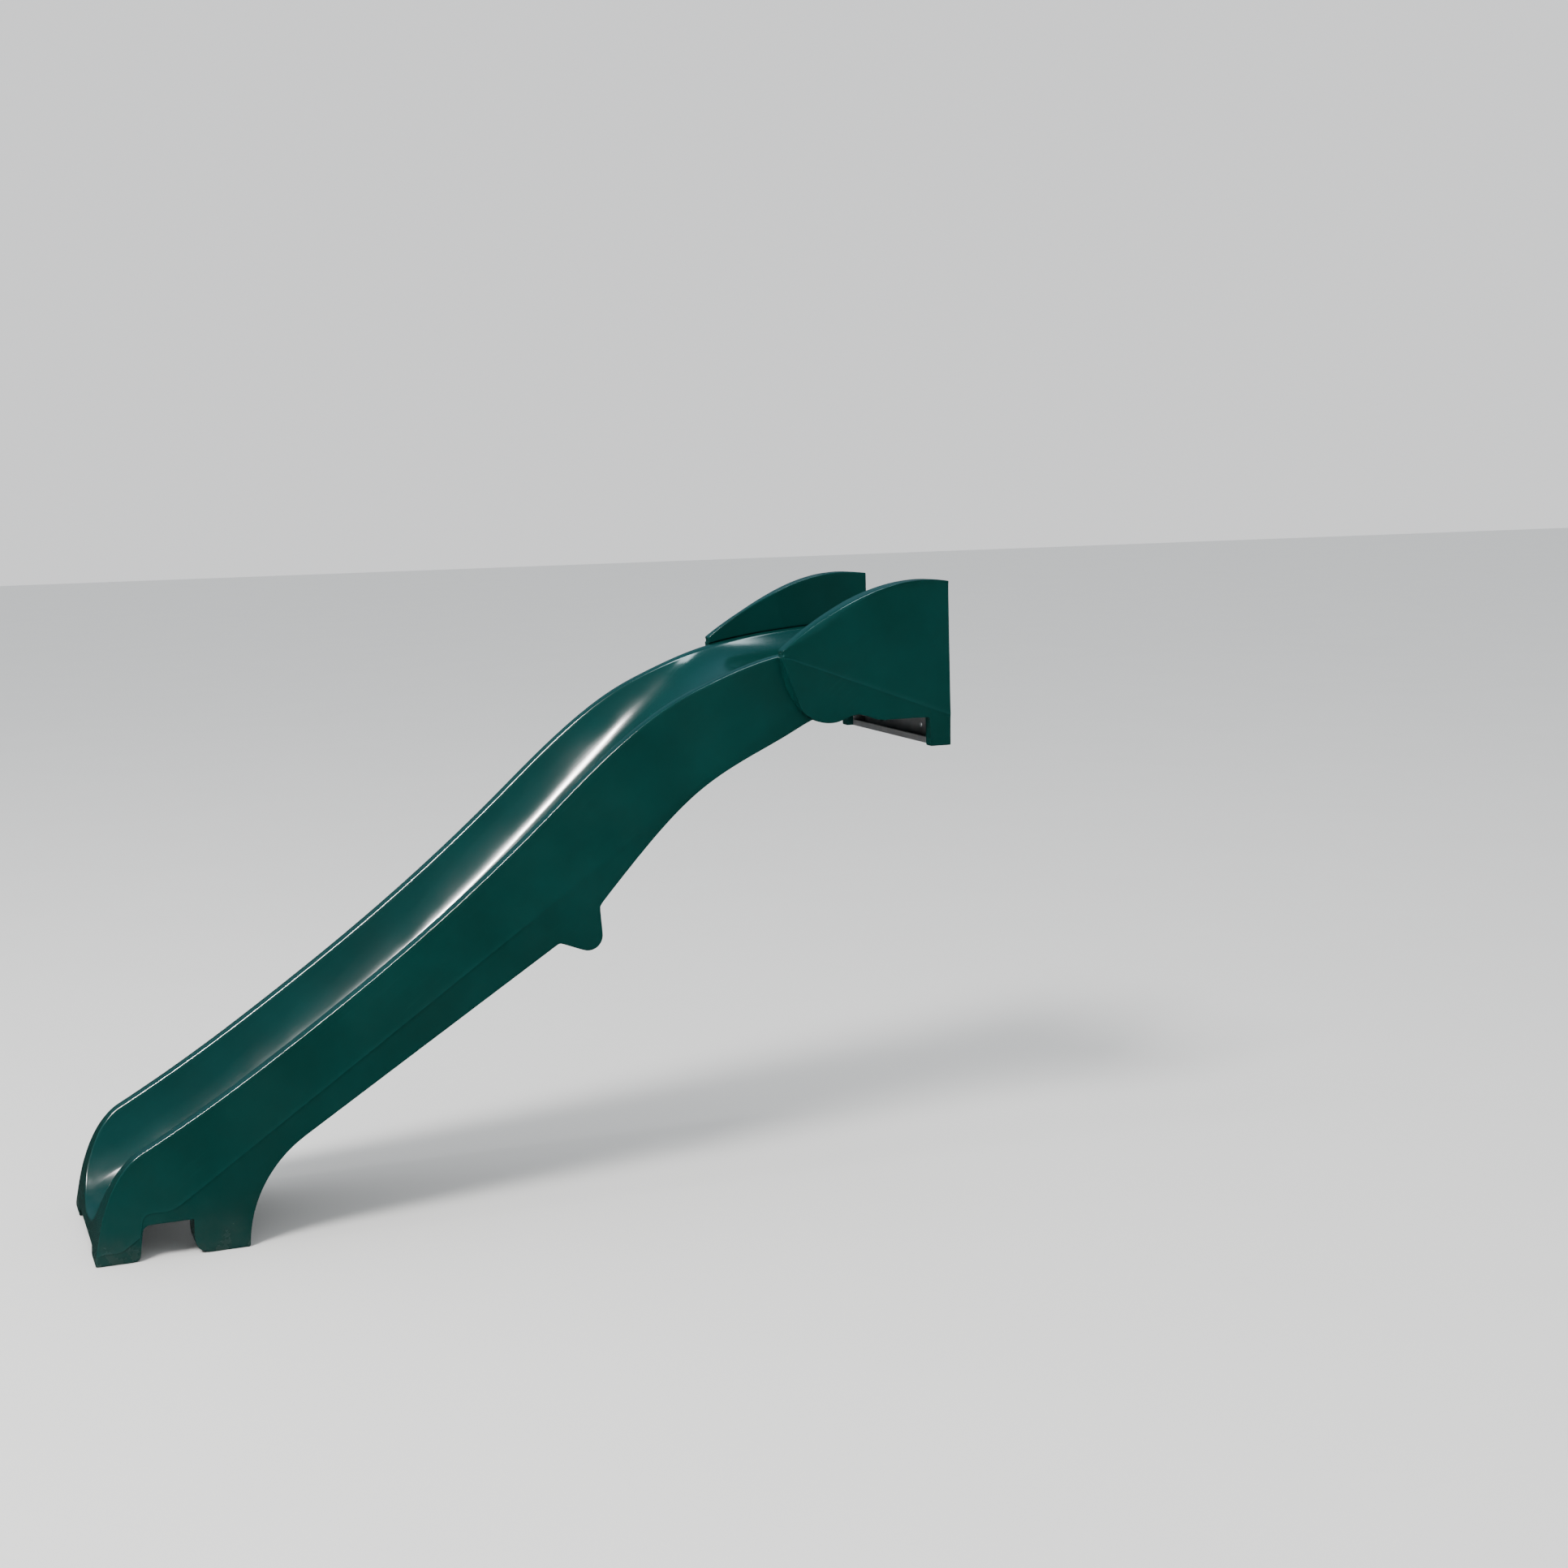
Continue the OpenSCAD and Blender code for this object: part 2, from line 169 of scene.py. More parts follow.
@dataclass(frozen=True)
class Knots:
    """A smooth curve through knots.

    Attributes:
        rows: The knots, each its station, height and slope.
    """

    rows: tuple[Point, ...]

    def height(self, x: float) -> float:
        """Reads the curve, which runs on straight past its ends.

        Args:
            x: The station.

        Returns:
            The height there.
        """
        first, last = self.rows[0], self.rows[-1]
        if x <= first[0] or x >= last[0]:
            end = first if x <= first[0] else last
            return end[1] + end[2] * (x - end[0])
        a, b = next((a, b) for a, b in zip(self.rows, self.rows[1:]) if x <= b[0])
        span = b[0] - a[0]
        t = (x - a[0]) / span
        start = (2 * t**3 - 3 * t**2 + 1) * a[1] + (t**3 - 2 * t**2 + t) * span * a[2]
        return start + (3 * t**2 - 2 * t**3) * b[1] + (t**3 - t**2) * span * b[2]


def solve(rising: Callable[[float], float], low: float, high: float) -> float:
    """Where a rising function crosses zero.

    Args:
        rising: The function.
        low: A value below the crossing.
        high: A value above it.

    Returns:
        The crossing.
    """
    halvings = 50
    for _ in range(halvings):
        middle = (low + high) / 2
        low, high = (low, middle) if rising(middle) > 0 else (middle, high)
    return (low + high) / 2


@dataclass
class Skin:
    """Gathers sheets of quads, welds them where they meet and makes a smooth mesh object.

    Attributes:
        name: Name of the object.
        shift: How far its points move along the slide to reach the frame.
        points: The points so far.
        faces: The faces so far.
    """

    name: str
    shift: float
    points: list[Point] = field(default_factory=list)
    faces: list[tuple[int, ...]] = field(default_factory=list)

    def sheet(self, grid: Sequence[Sequence[Point]], side: Side = Side.RIGHT) -> None:
        """Adds a sheet.

        Args:
            grid: Rows of points, all of the same length, with y counted outwards.
            side: The side of the slide that it goes on.
        """
        start, wide = len(self.points), len(grid[0])
        for row in grid:
            self.points.extend((x + self.shift, y * side.value, z) for x, y, z in row)
        for i in range(len(grid) - 1):
            for j in range(wide - 1):
                a = start + i * wide + j
                self.faces.append((a, a + 1, a + wide + 1, a + wide))

    def finish(self, levels: int, weld: float = 2e-5) -> bpy.types.Object:
        """Makes the object.

        Args:
            levels: How many times the mesh is subdivided and rounded.
            weld: Points closer than this become one.

        Returns:
            The object, linked to the scene.
        """
        mesh = bpy.data.meshes.new(self.name)
        mesh.from_pydata(self.points, [], self.faces)
        work = bmesh.new()
        work.from_mesh(mesh)
        bmesh.ops.remove_doubles(work, verts=work.verts, dist=weld)
        bmesh.ops.dissolve_degenerate(work, edges=work.edges, dist=weld)
        bmesh.ops.recalc_face_normals(work, faces=work.faces)
        for face in work.faces:
            face.smooth = True
        work.to_mesh(mesh)
        work.free()
        piece = bpy.data.objects.new(self.name, mesh)
        bpy.context.scene.collection.objects.link(piece)
        if levels:
            rounding = piece.modifiers.new("rounding", "SUBSURF")
            rounding.levels = rounding.render_levels = levels
        return piece


# ------------------------------------------------------------------------------------------ finishes


@dataclass
class NodeBench:
    """Builds one material's nodes.

    Attributes:
        name: Name of the material.
    """

    name: str

    def __post_init__(self) -> None:
        """Starts the material with its surface shader."""
        self.material = bpy.data.materials.new(self.name)
        self.material.use_nodes = True
        self.tree = self.material.node_tree
        self.shader = self.tree.nodes["Principled BSDF"]
        self.place = self.add("ShaderNodeTexCoord").outputs["Object"]

    def add(self, kind: str, **settings: object) -> bpy.types.Node:
        """Adds a node.

        Args:
            kind: Its type.
            **settings: Properties to set on it.

        Returns:
            The node.
        """
        node = self.tree.nodes.new(kind)
        for key, value in settings.items():
            setattr(node, key, value)
        return node

    def join(self, source: Socket, target: Socket) -> None:
        """Links two sockets."""
        self.tree.links.new(source, target)

    def give(self, key: str, source: Socket) -> None:
        """Links a socket to the surface shader's own socket of that name."""
        self.join(source, self.shader.inputs[key])

    def stretched(self, scale: Point, turn: float = 0.0) -> Socket:
        """The place on the object, scaled along each axis and turned about y.

        Args:
            scale: The scale along x, y and z.
            turn: The turn in degrees, after which x runs along the slope.

        Returns:
            The socket that gives it.
        """
        node = self.add("ShaderNodeMapping", vector_type="TEXTURE")
        node.inputs["Rotation"].default_value = (0, -math.radians(turn), 0)
        node.inputs["Scale"].default_value = tuple(1 / s for s in scale)
        self.join(self.place, node.inputs["Vector"])
        return node.outputs["Vector"]

    def noise(self, scale: float, detail: float = 3.0, rough: float = 0.5,
              place: Socket | None = None) -> Socket:
        """A noise pattern.

        Args:
            scale: Grains in a metre.
            detail: Octaves of finer grain.
            rough: Weight of the finer grain.
            place: Where it is read, or None for the object's own place.

        Returns:
            The socket of its value.
        """
        node = self.add("ShaderNodeTexNoise")
        node.inputs["Scale"].default_value = scale
        node.inputs["Detail"].default_value = detail
        node.inputs["Roughness"].default_value = rough
        self.join(place or self.place, node.inputs["Vector"])
        return node.outputs["Fac"]

    def spread(self, value: Socket, low: Flat, high: Flat) -> Socket:
        """Maps a value from one range to another.

        Args:
            value: The socket to map.
            low: Its lower end and what that becomes.
            high: Its upper end and what that becomes.

        Returns:
            The mapped socket.
        """
        node = self.add("ShaderNodeMapRange")
        for key, number in zip(("From Min", "To Min", "From Max", "To Max"), (*low, *high)):
            node.inputs[key].default_value = number
        self.join(value, node.inputs["Value"])
        return node.outputs["Result"]

    def reckon(self, operation: str, a: Socket, b: Socket) -> Socket:
        """Works out one value from two.

        Args:
            operation: Name of the sum to do.
            a: The first value.
            b: The second value.

        Returns:
            The socket of the result.
        """
        node = self.add("ShaderNodeMath", operation=operation)
        self.join(a, node.inputs[0])
        self.join(b, node.inputs[1])
        return node.outputs[0]

    def times(self, a: Socket, b: Socket) -> Socket:
        """The product of two values."""
        return self.reckon("MULTIPLY", a, b)

    def total(self, a: Socket, b: Socket) -> Socket:
        """The sum of two values."""
        return self.reckon("ADD", a, b)

    def blend(self, share: Socket, low: object, high: object) -> Socket:
        """Mixes two colours.

        Args:
            share: How much of the second to take.
            low: The first colour, as three numbers or a socket.
            high: The second colour, as three numbers or a socket.

        Returns:
            The socket of the mixed colour.
        """
        node = self.add("ShaderNodeMix", data_type="RGBA")
        self.join(share, node.inputs["Factor"])
        first_colour, second_colour, mixed = 6, 7, 2
        for index, colour in ((first_colour, low), (second_colour, high)):
            if isinstance(colour, Socket):
                self.join(colour, node.inputs[index])
            else:
                node.inputs[index].default_value = (*colour, 1.0)
        return node.outputs[mixed]

    def height(self) -> Socket:
        """Reads how high a place lies.

        Returns:
            The socket of its height over the ground.
        """
        node = self.add("ShaderNodeSeparateXYZ")
        self.join(self.place, node.inputs[0])
        return node.outputs["Z"]

    def bump(self, layers: Sequence[tuple[Socket, float, float]]) -> None:
        """Stacks relief layers and gives them to the shader.

        Args:
            layers: Each layer's pattern, its depth in metres and its strength.
        """
        last = None
        for pattern, depth, strength in layers:
            node = self.add("ShaderNodeBump")
            node.inputs["Strength"].default_value = strength
            node.inputs["Distance"].default_value = depth
            self.join(pattern, node.inputs["Height"])
            if last:
                self.join(last, node.inputs["Normal"])
            last = node.outputs["Normal"]
        self.join(last, self.shader.inputs["Normal"])

    def fixed(self, **values: object) -> None:
        """Sets shader sockets that are the same all over, by name with _ for a space."""
        for key, value in values.items():
            self.shader.inputs[key.replace("_", " ")].default_value = value


@dataclass(frozen=True)
class MouldedGreen:
    """Glossy dark teal plastic: soft ripple and fine grain from the mould, rubbed edges and a foot greyed
    towards the ground.

    Attributes:
        deep: Colour of clean plastic.
        pale: Colour of the lighter clouds in it.
        rubbed: Colour where it has been rubbed.
        low_tint: Colour that the plastic is greyed towards near the ground.
        slope: Mean slope of the slide in degrees, along which it is rubbed.
    """

    deep: Point = (0.0007, 0.0260, 0.0220)
    pale: Point = (0.0010, 0.0340, 0.0300)
    rubbed: Point = (0.0060, 0.0520, 0.0480)
    low_tint: Point = (0.0900, 0.0900, 0.0740)
    slope: float = 39.0

    def make(self) -> bpy.types.Material:
        """Builds the material.

        Returns:
            The material.
        """
        bench = NodeBench("moulded_green")
        cloud = bench.spread(bench.noise(5.0, 4.0), (0.35, 0.0), (0.7, 1.0))
        colour = bench.blend(cloud, self.deep, self.pale)
        streaks = bench.noise(1.0, 4.0, 0.6, bench.stretched((9.0, 260.0, 260.0), self.slope))
        patches = bench.spread(bench.noise(11.0, 3.0), (0.45, 0.0), (0.75, 1.0))
        rubs = bench.times(bench.spread(streaks, (0.55, 0.0), (0.8, 0.35)), patches)
        edge = bench.add("ShaderNodeNewGeometry").outputs["Pointiness"]
        worn = bench.times(bench.spread(edge, (0.53, 0.0), (0.62, 0.5)),
                           bench.spread(bench.noise(45.0, 3.0), (0.4, 0.2), (0.7, 1.0)))
        colour = bench.blend(bench.total(rubs, worn), colour, self.rubbed)
        # Greyer towards the ground: a speckled grey-brown mix over the lowest 15 cm of the foot.
        low = bench.spread(bench.height(), (0.0, 1.0), (0.15, 0.0))
        low = bench.times(low, low)
        specks = bench.spread(bench.noise(22.0, 6.0, 0.65), (0.35, 0.02), (0.75, 0.24))
        colour = bench.blend(bench.times(low, specks), colour, self.low_tint)
        bench.give("Base Color", colour)
        dull = bench.total(bench.spread(bench.noise(8.0, 3.0), (0.3, 0.13), (0.75, 0.21)),
                           bench.total(bench.times(low, specks), bench.times(rubs, rubs)))
        bench.give("Roughness", dull)
        bench.bump([(bench.noise(14.0, 1.0), 0.0009, 0.3), (bench.noise(420.0, 2.0), 0.00010, 0.12),
                    (streaks, 0.0001, 0.2)])
        bench.fixed(IOR=1.5)
        return bench.material


@dataclass(frozen=True)
class PowderCoat:
    """Dark grey powder coat with its fine orange peel and a thin film of dust low down.

    Attributes:
        coat: Colour of the coat.
        faded: Colour where the weather has dulled it.
        low_tint: Colour of the dust that gathers low on it.
    """

    coat: Point = (0.130, 0.132, 0.138)
    faded: Point = (0.170, 0.172, 0.176)
    low_tint: Point = (0.20, 0.19, 0.17)

    def make(self) -> bpy.types.Material:
        """Builds the material.

        Returns:
            The material.
        """
        bench = NodeBench("coated_steel")
        weather = bench.spread(bench.noise(14.0, 5.0, 0.6), (0.35, 0.0), (0.7, 1.0))
        colour = bench.blend(weather, self.coat, self.faded)
        low = bench.spread(bench.height(), (0.90, 0.5), (0.96, 0.0))
        film = bench.spread(bench.noise(38.0, 5.0, 0.65), (0.4, 0.0), (0.75, 0.7))
        bench.give("Base Color", bench.blend(bench.times(low, film), colour, self.low_tint))
        bench.give("Roughness", bench.spread(bench.noise(30.0, 3.0), (0.3, 0.36), (0.7, 0.52)))
        bench.bump([(bench.noise(900.0, 2.0), 0.00008, 0.5)])
        return bench.material


@dataclass(frozen=True)
class PlatedMetal:
    """A bright metal with fine turned marks and a little dullness.

    Attributes:
        name: Name of the material.
        bright: Colour of the fresh metal.
        dulled: Colour of the dulled metal.
        smooth: Least roughness.
        rough: Most roughness.
    """

    name: str
    bright: Point
    dulled: Point
    smooth: float
    rough: float

    def make(self) -> bpy.types.Material:
        """Builds the material.

        Returns:
            The material.
        """
        bench = NodeBench(self.name)
        stain = bench.spread(bench.noise(60.0, 5.0, 0.65), (0.35, 0.0), (0.7, 1.0))
        bench.give("Base Color", bench.blend(stain, self.bright, self.dulled))
        wear = bench.noise(140.0, 3.0)
        bench.give("Roughness", bench.spread(wear, (0.3, self.smooth), (0.7, self.rough)))
        bench.bump([(bench.noise(1800.0, 2.0, 0.5, bench.stretched((1.0, 1.0, 6.0))), 0.00003, 0.4)])
        bench.fixed(Metallic=1.0)
        return bench.material


@dataclass(frozen=True)
class PlugBlack:
    """Matt black soft plastic.

    Attributes:
        fresh: Colour of the clean plastic.
        chalky: Colour where the sun has turned it chalky.
    """

    fresh: Point = (0.008, 0.008, 0.009)
    chalky: Point = (0.030, 0.030, 0.029)

    def make(self) -> bpy.types.Material:
        """Builds the material.

        Returns:
            The material.
        """
        bench = NodeBench("plug_black")
        chalk = bench.spread(bench.noise(90.0, 4.0), (0.35, 0.0), (0.75, 1.0))
        bench.give("Base Color", bench.blend(chalk, self.fresh, self.chalky))
        bench.give("Roughness", bench.spread(chalk, (0.0, 0.5), (1.0, 0.75)))
        bench.bump([(bench.noise(1500.0, 2.0), 0.00005, 0.4)])
        return bench.material


@dataclass(frozen=True)
class FloorPaint:
    """A plain pale studio floor.

    Attributes:
        pale: Its colour.
        mottle: The slightly darker colour that it drifts to.
    """

    pale: Point = (0.86, 0.86, 0.855)
    mottle: Point = (0.83, 0.83, 0.825)

    def make(self) -> bpy.types.Material:
        """Builds the material.

        Returns:
            The material.
        """
        bench = NodeBench("studio_floor")
        bench.give("Base Color", bench.blend(bench.noise(2.0, 2.0), self.pale, self.mottle))
        bench.fixed(Roughness=0.85)
        return bench.material


ZINC_PLATE = PlatedMetal("zinc_steel", (0.62, 0.63, 0.62), (0.40, 0.41, 0.40), 0.25, 0.42)
TURNED_BRASS = PlatedMetal("insert_brass", (0.72, 0.52, 0.22), (0.46, 0.32, 0.14), 0.22, 0.38)


class Finishes:
    """All the finishes of the slide, made once."""

    def __init__(self) -> None:
        """Makes the materials."""
        self.of_slot: dict[Slot, bpy.types.Material] = {
            Slot.GREEN: MouldedGreen().make(),
            Slot.STEEL: PowderCoat().make(),
            Slot.ZINC: ZINC_PLATE.make(),
            Slot.BRASS: TURNED_BRASS.make(),
            Slot.PLUG: PlugBlack().make(),
        }

    def dress(self, piece: bpy.types.Object, slot: Slot) -> None:
        """Gives a piece the finish of its slot.

        Args:
            piece: The piece.
            slot: The slot that it takes its finish from.
        """
        piece.data.materials.clear()
        piece.data.materials.append(self.of_slot[slot])


# --------------------------------------------------------------------------------------------- chute


@dataclass(frozen=True)
class WaveShape:
    """The chute's driving sizes and the curves that follow from them.

    Attributes:
        run: Length from the front of the foot to the deck face.
        deck_h: Height of the bed at the deck.
        chute_w: Width across the parting line.
        lip_h: Height of the bed at the exit.
        rim_w: Width of the flat-topped rim.
        rim_start_h: Height of the rim where it starts, above the foot.
        rim_over_deck: Height of the rim over the bed at the deck.
        bed_t: Thickness of the bed.
        beam_w: Width of each side beam.
        draft_up: Draft of the sides above the parting line, in degrees.
        draft_down: Draft below it.
        foot_len: Length of the foot along the ground.
        pad_len: Length of the foot's front pad.
        notch_len: Length of the notch behind that pad.
        notch_h: Height of the notch.
        heel_r: Radius of the hollow curve up from the foot's back.
        guard_len: Length of the guards.
        rim_x: Station where the rim starts, over the foot.
        rim_inset: How far the rim's flat top stops short of the parting line's width.
        toe_past: How far behind the foot the wave starts.
        crest_past: How far behind the guards' tips the bed turns level.
        toe_rise: Rise of the bed over the run-out.
        tail_len: Length of the bed behind the side beams.
        beam_drop: Depth of the side beams' lower edge under the bed at the deck.
        edge_past: How far past the crest the lower edge turns level.
        crease_slope: Slope of the parting crease, in degrees.
        crease_from: A point of the crease, along and up from where the wave starts.
        trough_power: How late the trough's floor turns up into its sides.
    """

    run: float = 1.808
    deck_h: float = 1.075
    chute_w: float = 0.440
    lip_h: float = 0.042
    rim_w: float = 0.035
    rim_start_h: float = 0.212
    rim_over_deck: float = 0.072
    bed_t: float = 0.026
    beam_w: float = 0.084
    draft_up: float = 4.3
    draft_down: float = 3.0
    foot_len: float = 0.297
    pad_len: float = 0.086
    notch_len: float = 0.104
    notch_h: float = 0.071
    heel_r: float = 0.250
    guard_len: float = 0.378
    rim_x: float = 0.099
    rim_inset: float = 0.008
    toe_past: float = 0.003
    crest_past: float = 0.010
    toe_rise: float = 0.136
    tail_len: float = 0.042
    beam_drop: float = 0.090
    edge_past: float = 0.130
    crease_slope: float = 34.6
    crease_from: Flat = (0.101, 0.089)
    trough_power: float = 3.0

    @property
    def half_w(self) -> float:
        """Half the width across the parting line."""
        return self.chute_w / 2

    @property
    def trough_half(self) -> float:
        """Half the width of the trough between the rims."""
        return self.half_w - self.rim_w - self.rim_inset

    @property
    def beam_in(self) -> float:
        """Half the width of the open space under the bed."""
        return self.half_w - self.beam_w

    @property
    def guard_x(self) -> float:
        """Station of the guards' front tips."""
        return self.run - self.guard_len

    @property
    def crest_x(self) -> float:
        """Station where the bed turns level."""
        return self.guard_x + self.crest_past

    @property
    def toe_x(self) -> float:
        """Station where the wave leaves the run-out."""
        return self.foot_len + self.toe_past

    @property
    def toe_h(self) -> float:
        """Height of the bed where the wave leaves the run-out."""
        return self.lip_h + self.toe_rise

    @property
    def under_h(self) -> float:
        """Height of the bed's underside at the deck."""
        return self.deck_h - self.bed_t

    @property
    def beam_end(self) -> float:
        """Station where the side beams stop."""
        return self.run - self.tail_len

    @property
    def beam_low(self) -> float:
        """Height of the side beams' lower edge at the deck."""
        return self.deck_h - self.beam_drop

    @property
    def edge_end(self) -> Flat:
        """Where the side beams' lower edge turns level."""
        return self.crest_x + self.edge_past, self.beam_low

    def wave(self, along: float, up: float, steep: float) -> Point:
        """A knot of the wave.

        Args:
            along: Share of the wave's run.
            up: Share of its rise.
            steep: Slope as a multiple of its mean slope.

        Returns:
            The knot.
        """
        run, rise = self.crest_x - self.toe_x, self.deck_h - self.toe_h
        return self.toe_x + run * along, self.toe_h + rise * up, steep * rise / run

    @cached_property
    def bed(self) -> Knots:
        """The curve of the sliding bed's middle."""
        return Knots(((0.0, self.lip_h, 0.1), self.wave(0, 0, 0.84), self.wave(0.58, 0.571, 1.18),
                      self.wave(0.833, 0.87, 1.06), self.wave(1, 1, 0), (self.run, self.deck_h, 0.0)))

    @cached_property
    def rim(self) -> Knots:
        """Draws the top of the rims.

        Returns:
            Their curve.
        """
        return Knots(((self.rim_x, self.rim_start_h, 0.535), self.wave(0.175, 0.322, 0.889),
                      self.wave(0.57, 0.7224, 1.159), self.wave(0.825, 0.962, 0.55),
                      self.wave(0.992, 1.037, 0.27), (self.run, self.deck_h + self.rim_over_deck, 0.05)))

    @cached_property
    def edge(self) -> Knots:
        """The curve of the side beams' lower edge, above the lugs."""
        return Knots((self.wave(0.642, 0.492, 1.43), self.wave(0.807, 0.711, 1.077),
                      self.wave(1.036, 0.874, 0.715), (*self.edge_end, 0.0)))

    def trough(self, x: float, w: float) -> float:
        """Works out how high the trough's surface lies.

        Args:
            x: Station.
            w: Distance from the middle.

        Returns:
            The height.
        """
        bed = self.bed.height(x)
        return bed + (self.rim.height(x) - bed) * (abs(w) / self.trough_half) ** self.trough_power

    def under(self, x: float) -> float:
        """Height of the bed's underside at a station."""
        return self.bed.height(x) - self.bed_t

    def off_crease(self, x: float, z: float) -> float:
        """Works out how far a place on the side lies above the parting crease.

        Args:
            x: Station.
            z: Height.

        Returns:
            The distance, negative under the crease.
        """
        turn, (along, up) = math.radians(self.crease_slope), self.crease_from
        return (z - self.toe_h - up) * math.cos(turn) - (x - self.toe_x - along) * math.sin(turn)

    def side(self, x: float, z: float) -> float:
        """Works out how far out the drafted side lies.

        Args:
            x: Station.
            z: Height.

        Returns:
            The distance from the middle.
        """
        off = self.off_crease(x, z)
        draft = self.draft_up if off > 0 else self.draft_down
        return self.half_w - abs(off) * math.tan(math.radians(draft))


@dataclass(frozen=True)
class RimPath:
    """The line of the rim from the deck to the exit and on down the rounded front to the ground.

    A place on it is a station while it runs over the slide. In front of the rim's start it goes on as that
    station less the length along the front.

    Attributes:
        shape: The chute's shape.
        low_z: Height at which the front turns into its foot.
        low_pull: Station and height that pull the front's lower half.
        high_pull: Station, and depth under the rim's start, that pull its upper half.
        steps: How many steps the front takes.
    """

    shape: WaveShape
    low_z: float = 0.007
    low_pull: Flat = (0.012, 0.080)
    high_pull: Flat = (0.034, 0.034)
    steps: int = 240

    @cached_property
    def front(self) -> list[Point]:
        """Draws the rounded front as one curve from the rim's start to the foot.

        Returns:
            Its points, each with its length from the rim's start, its station and its height.
        """
        top = (self.shape.rim_x, self.shape.rim_start_h)
        high = (self.high_pull[0], self.shape.rim_start_h - self.high_pull[1])
        knots = [(0.0, self.low_z), self.low_pull, high, top]
        rows, length, last = [], 0.0, top
        for i in range(self.steps + 1):
            t = 1 - i / self.steps
            weights = ((1 - t) ** 3, 3 * t * (1 - t) ** 2, 3 * t**2 * (1 - t), t**3)
            here = tuple(sum(w * k[axis] for w, k in zip(weights, knots)) for axis in (0, 1))
            length += math.dist(here, last)
            rows.append((length, *here))
            last = here
        return rows

    def at(self, place: float) -> Flat:
        """Finds a place.

        Args:
            place: The place on the path.

        Returns:
            Its station and height.
        """
        if place >= self.shape.rim_x:
            return place, self.shape.rim.height(place)
        return self._read(0, self.shape.rim_x - place)

    def front_x(self, z: float) -> float:
        """Station of the front at a height."""
        return 0.0 if z <= self.low_z else self._read(2, z)[0]

    def place_of(self, z: float) -> float:
        """The place of a height on the front."""
        return self.shape.rim_x - min(self.front, key=lambda row: abs(row[2] - z))[0]

    def _read(self, column: int, value: float) -> Flat:
        """Looks up the front's rows.

        Args:
            column: The column to search, 0 for the length or 2 for the height.
            value: The value to find in it.

        Returns:
            Station and height there.
        """
        rows = self.front
        rising = rows[-1][column] > rows[0][column]
        for a, b in zip(rows, rows[1:]):
            low, high = (a[column], b[column]) if rising else (b[column], a[column])
            if low <= value <= high and high > low:
                share = (value - a[column]) / (b[column] - a[column])
                return mix(a[1:], b[1:], share)
        end = rows[-1] if (value > rows[-1][column]) == rising else rows[0]
        return end[1], end[2]


@dataclass(frozen=True)
class Row:
    """One cross row of the chute's skin.

    Attributes:
        place: Its place on the rim's path.
        middle_x: Station of the bed's middle.
        under_x: Station of the underside.
        inner: Station, half width and height of the rim's inner edge.
        outer: Station and height of the rim's outer edge.
        foot: Station and height of its point on the side's lower outline.
    """

    place: float
    middle_x: float
    under_x: float
    inner: Point
    outer: Flat
    foot: Flat


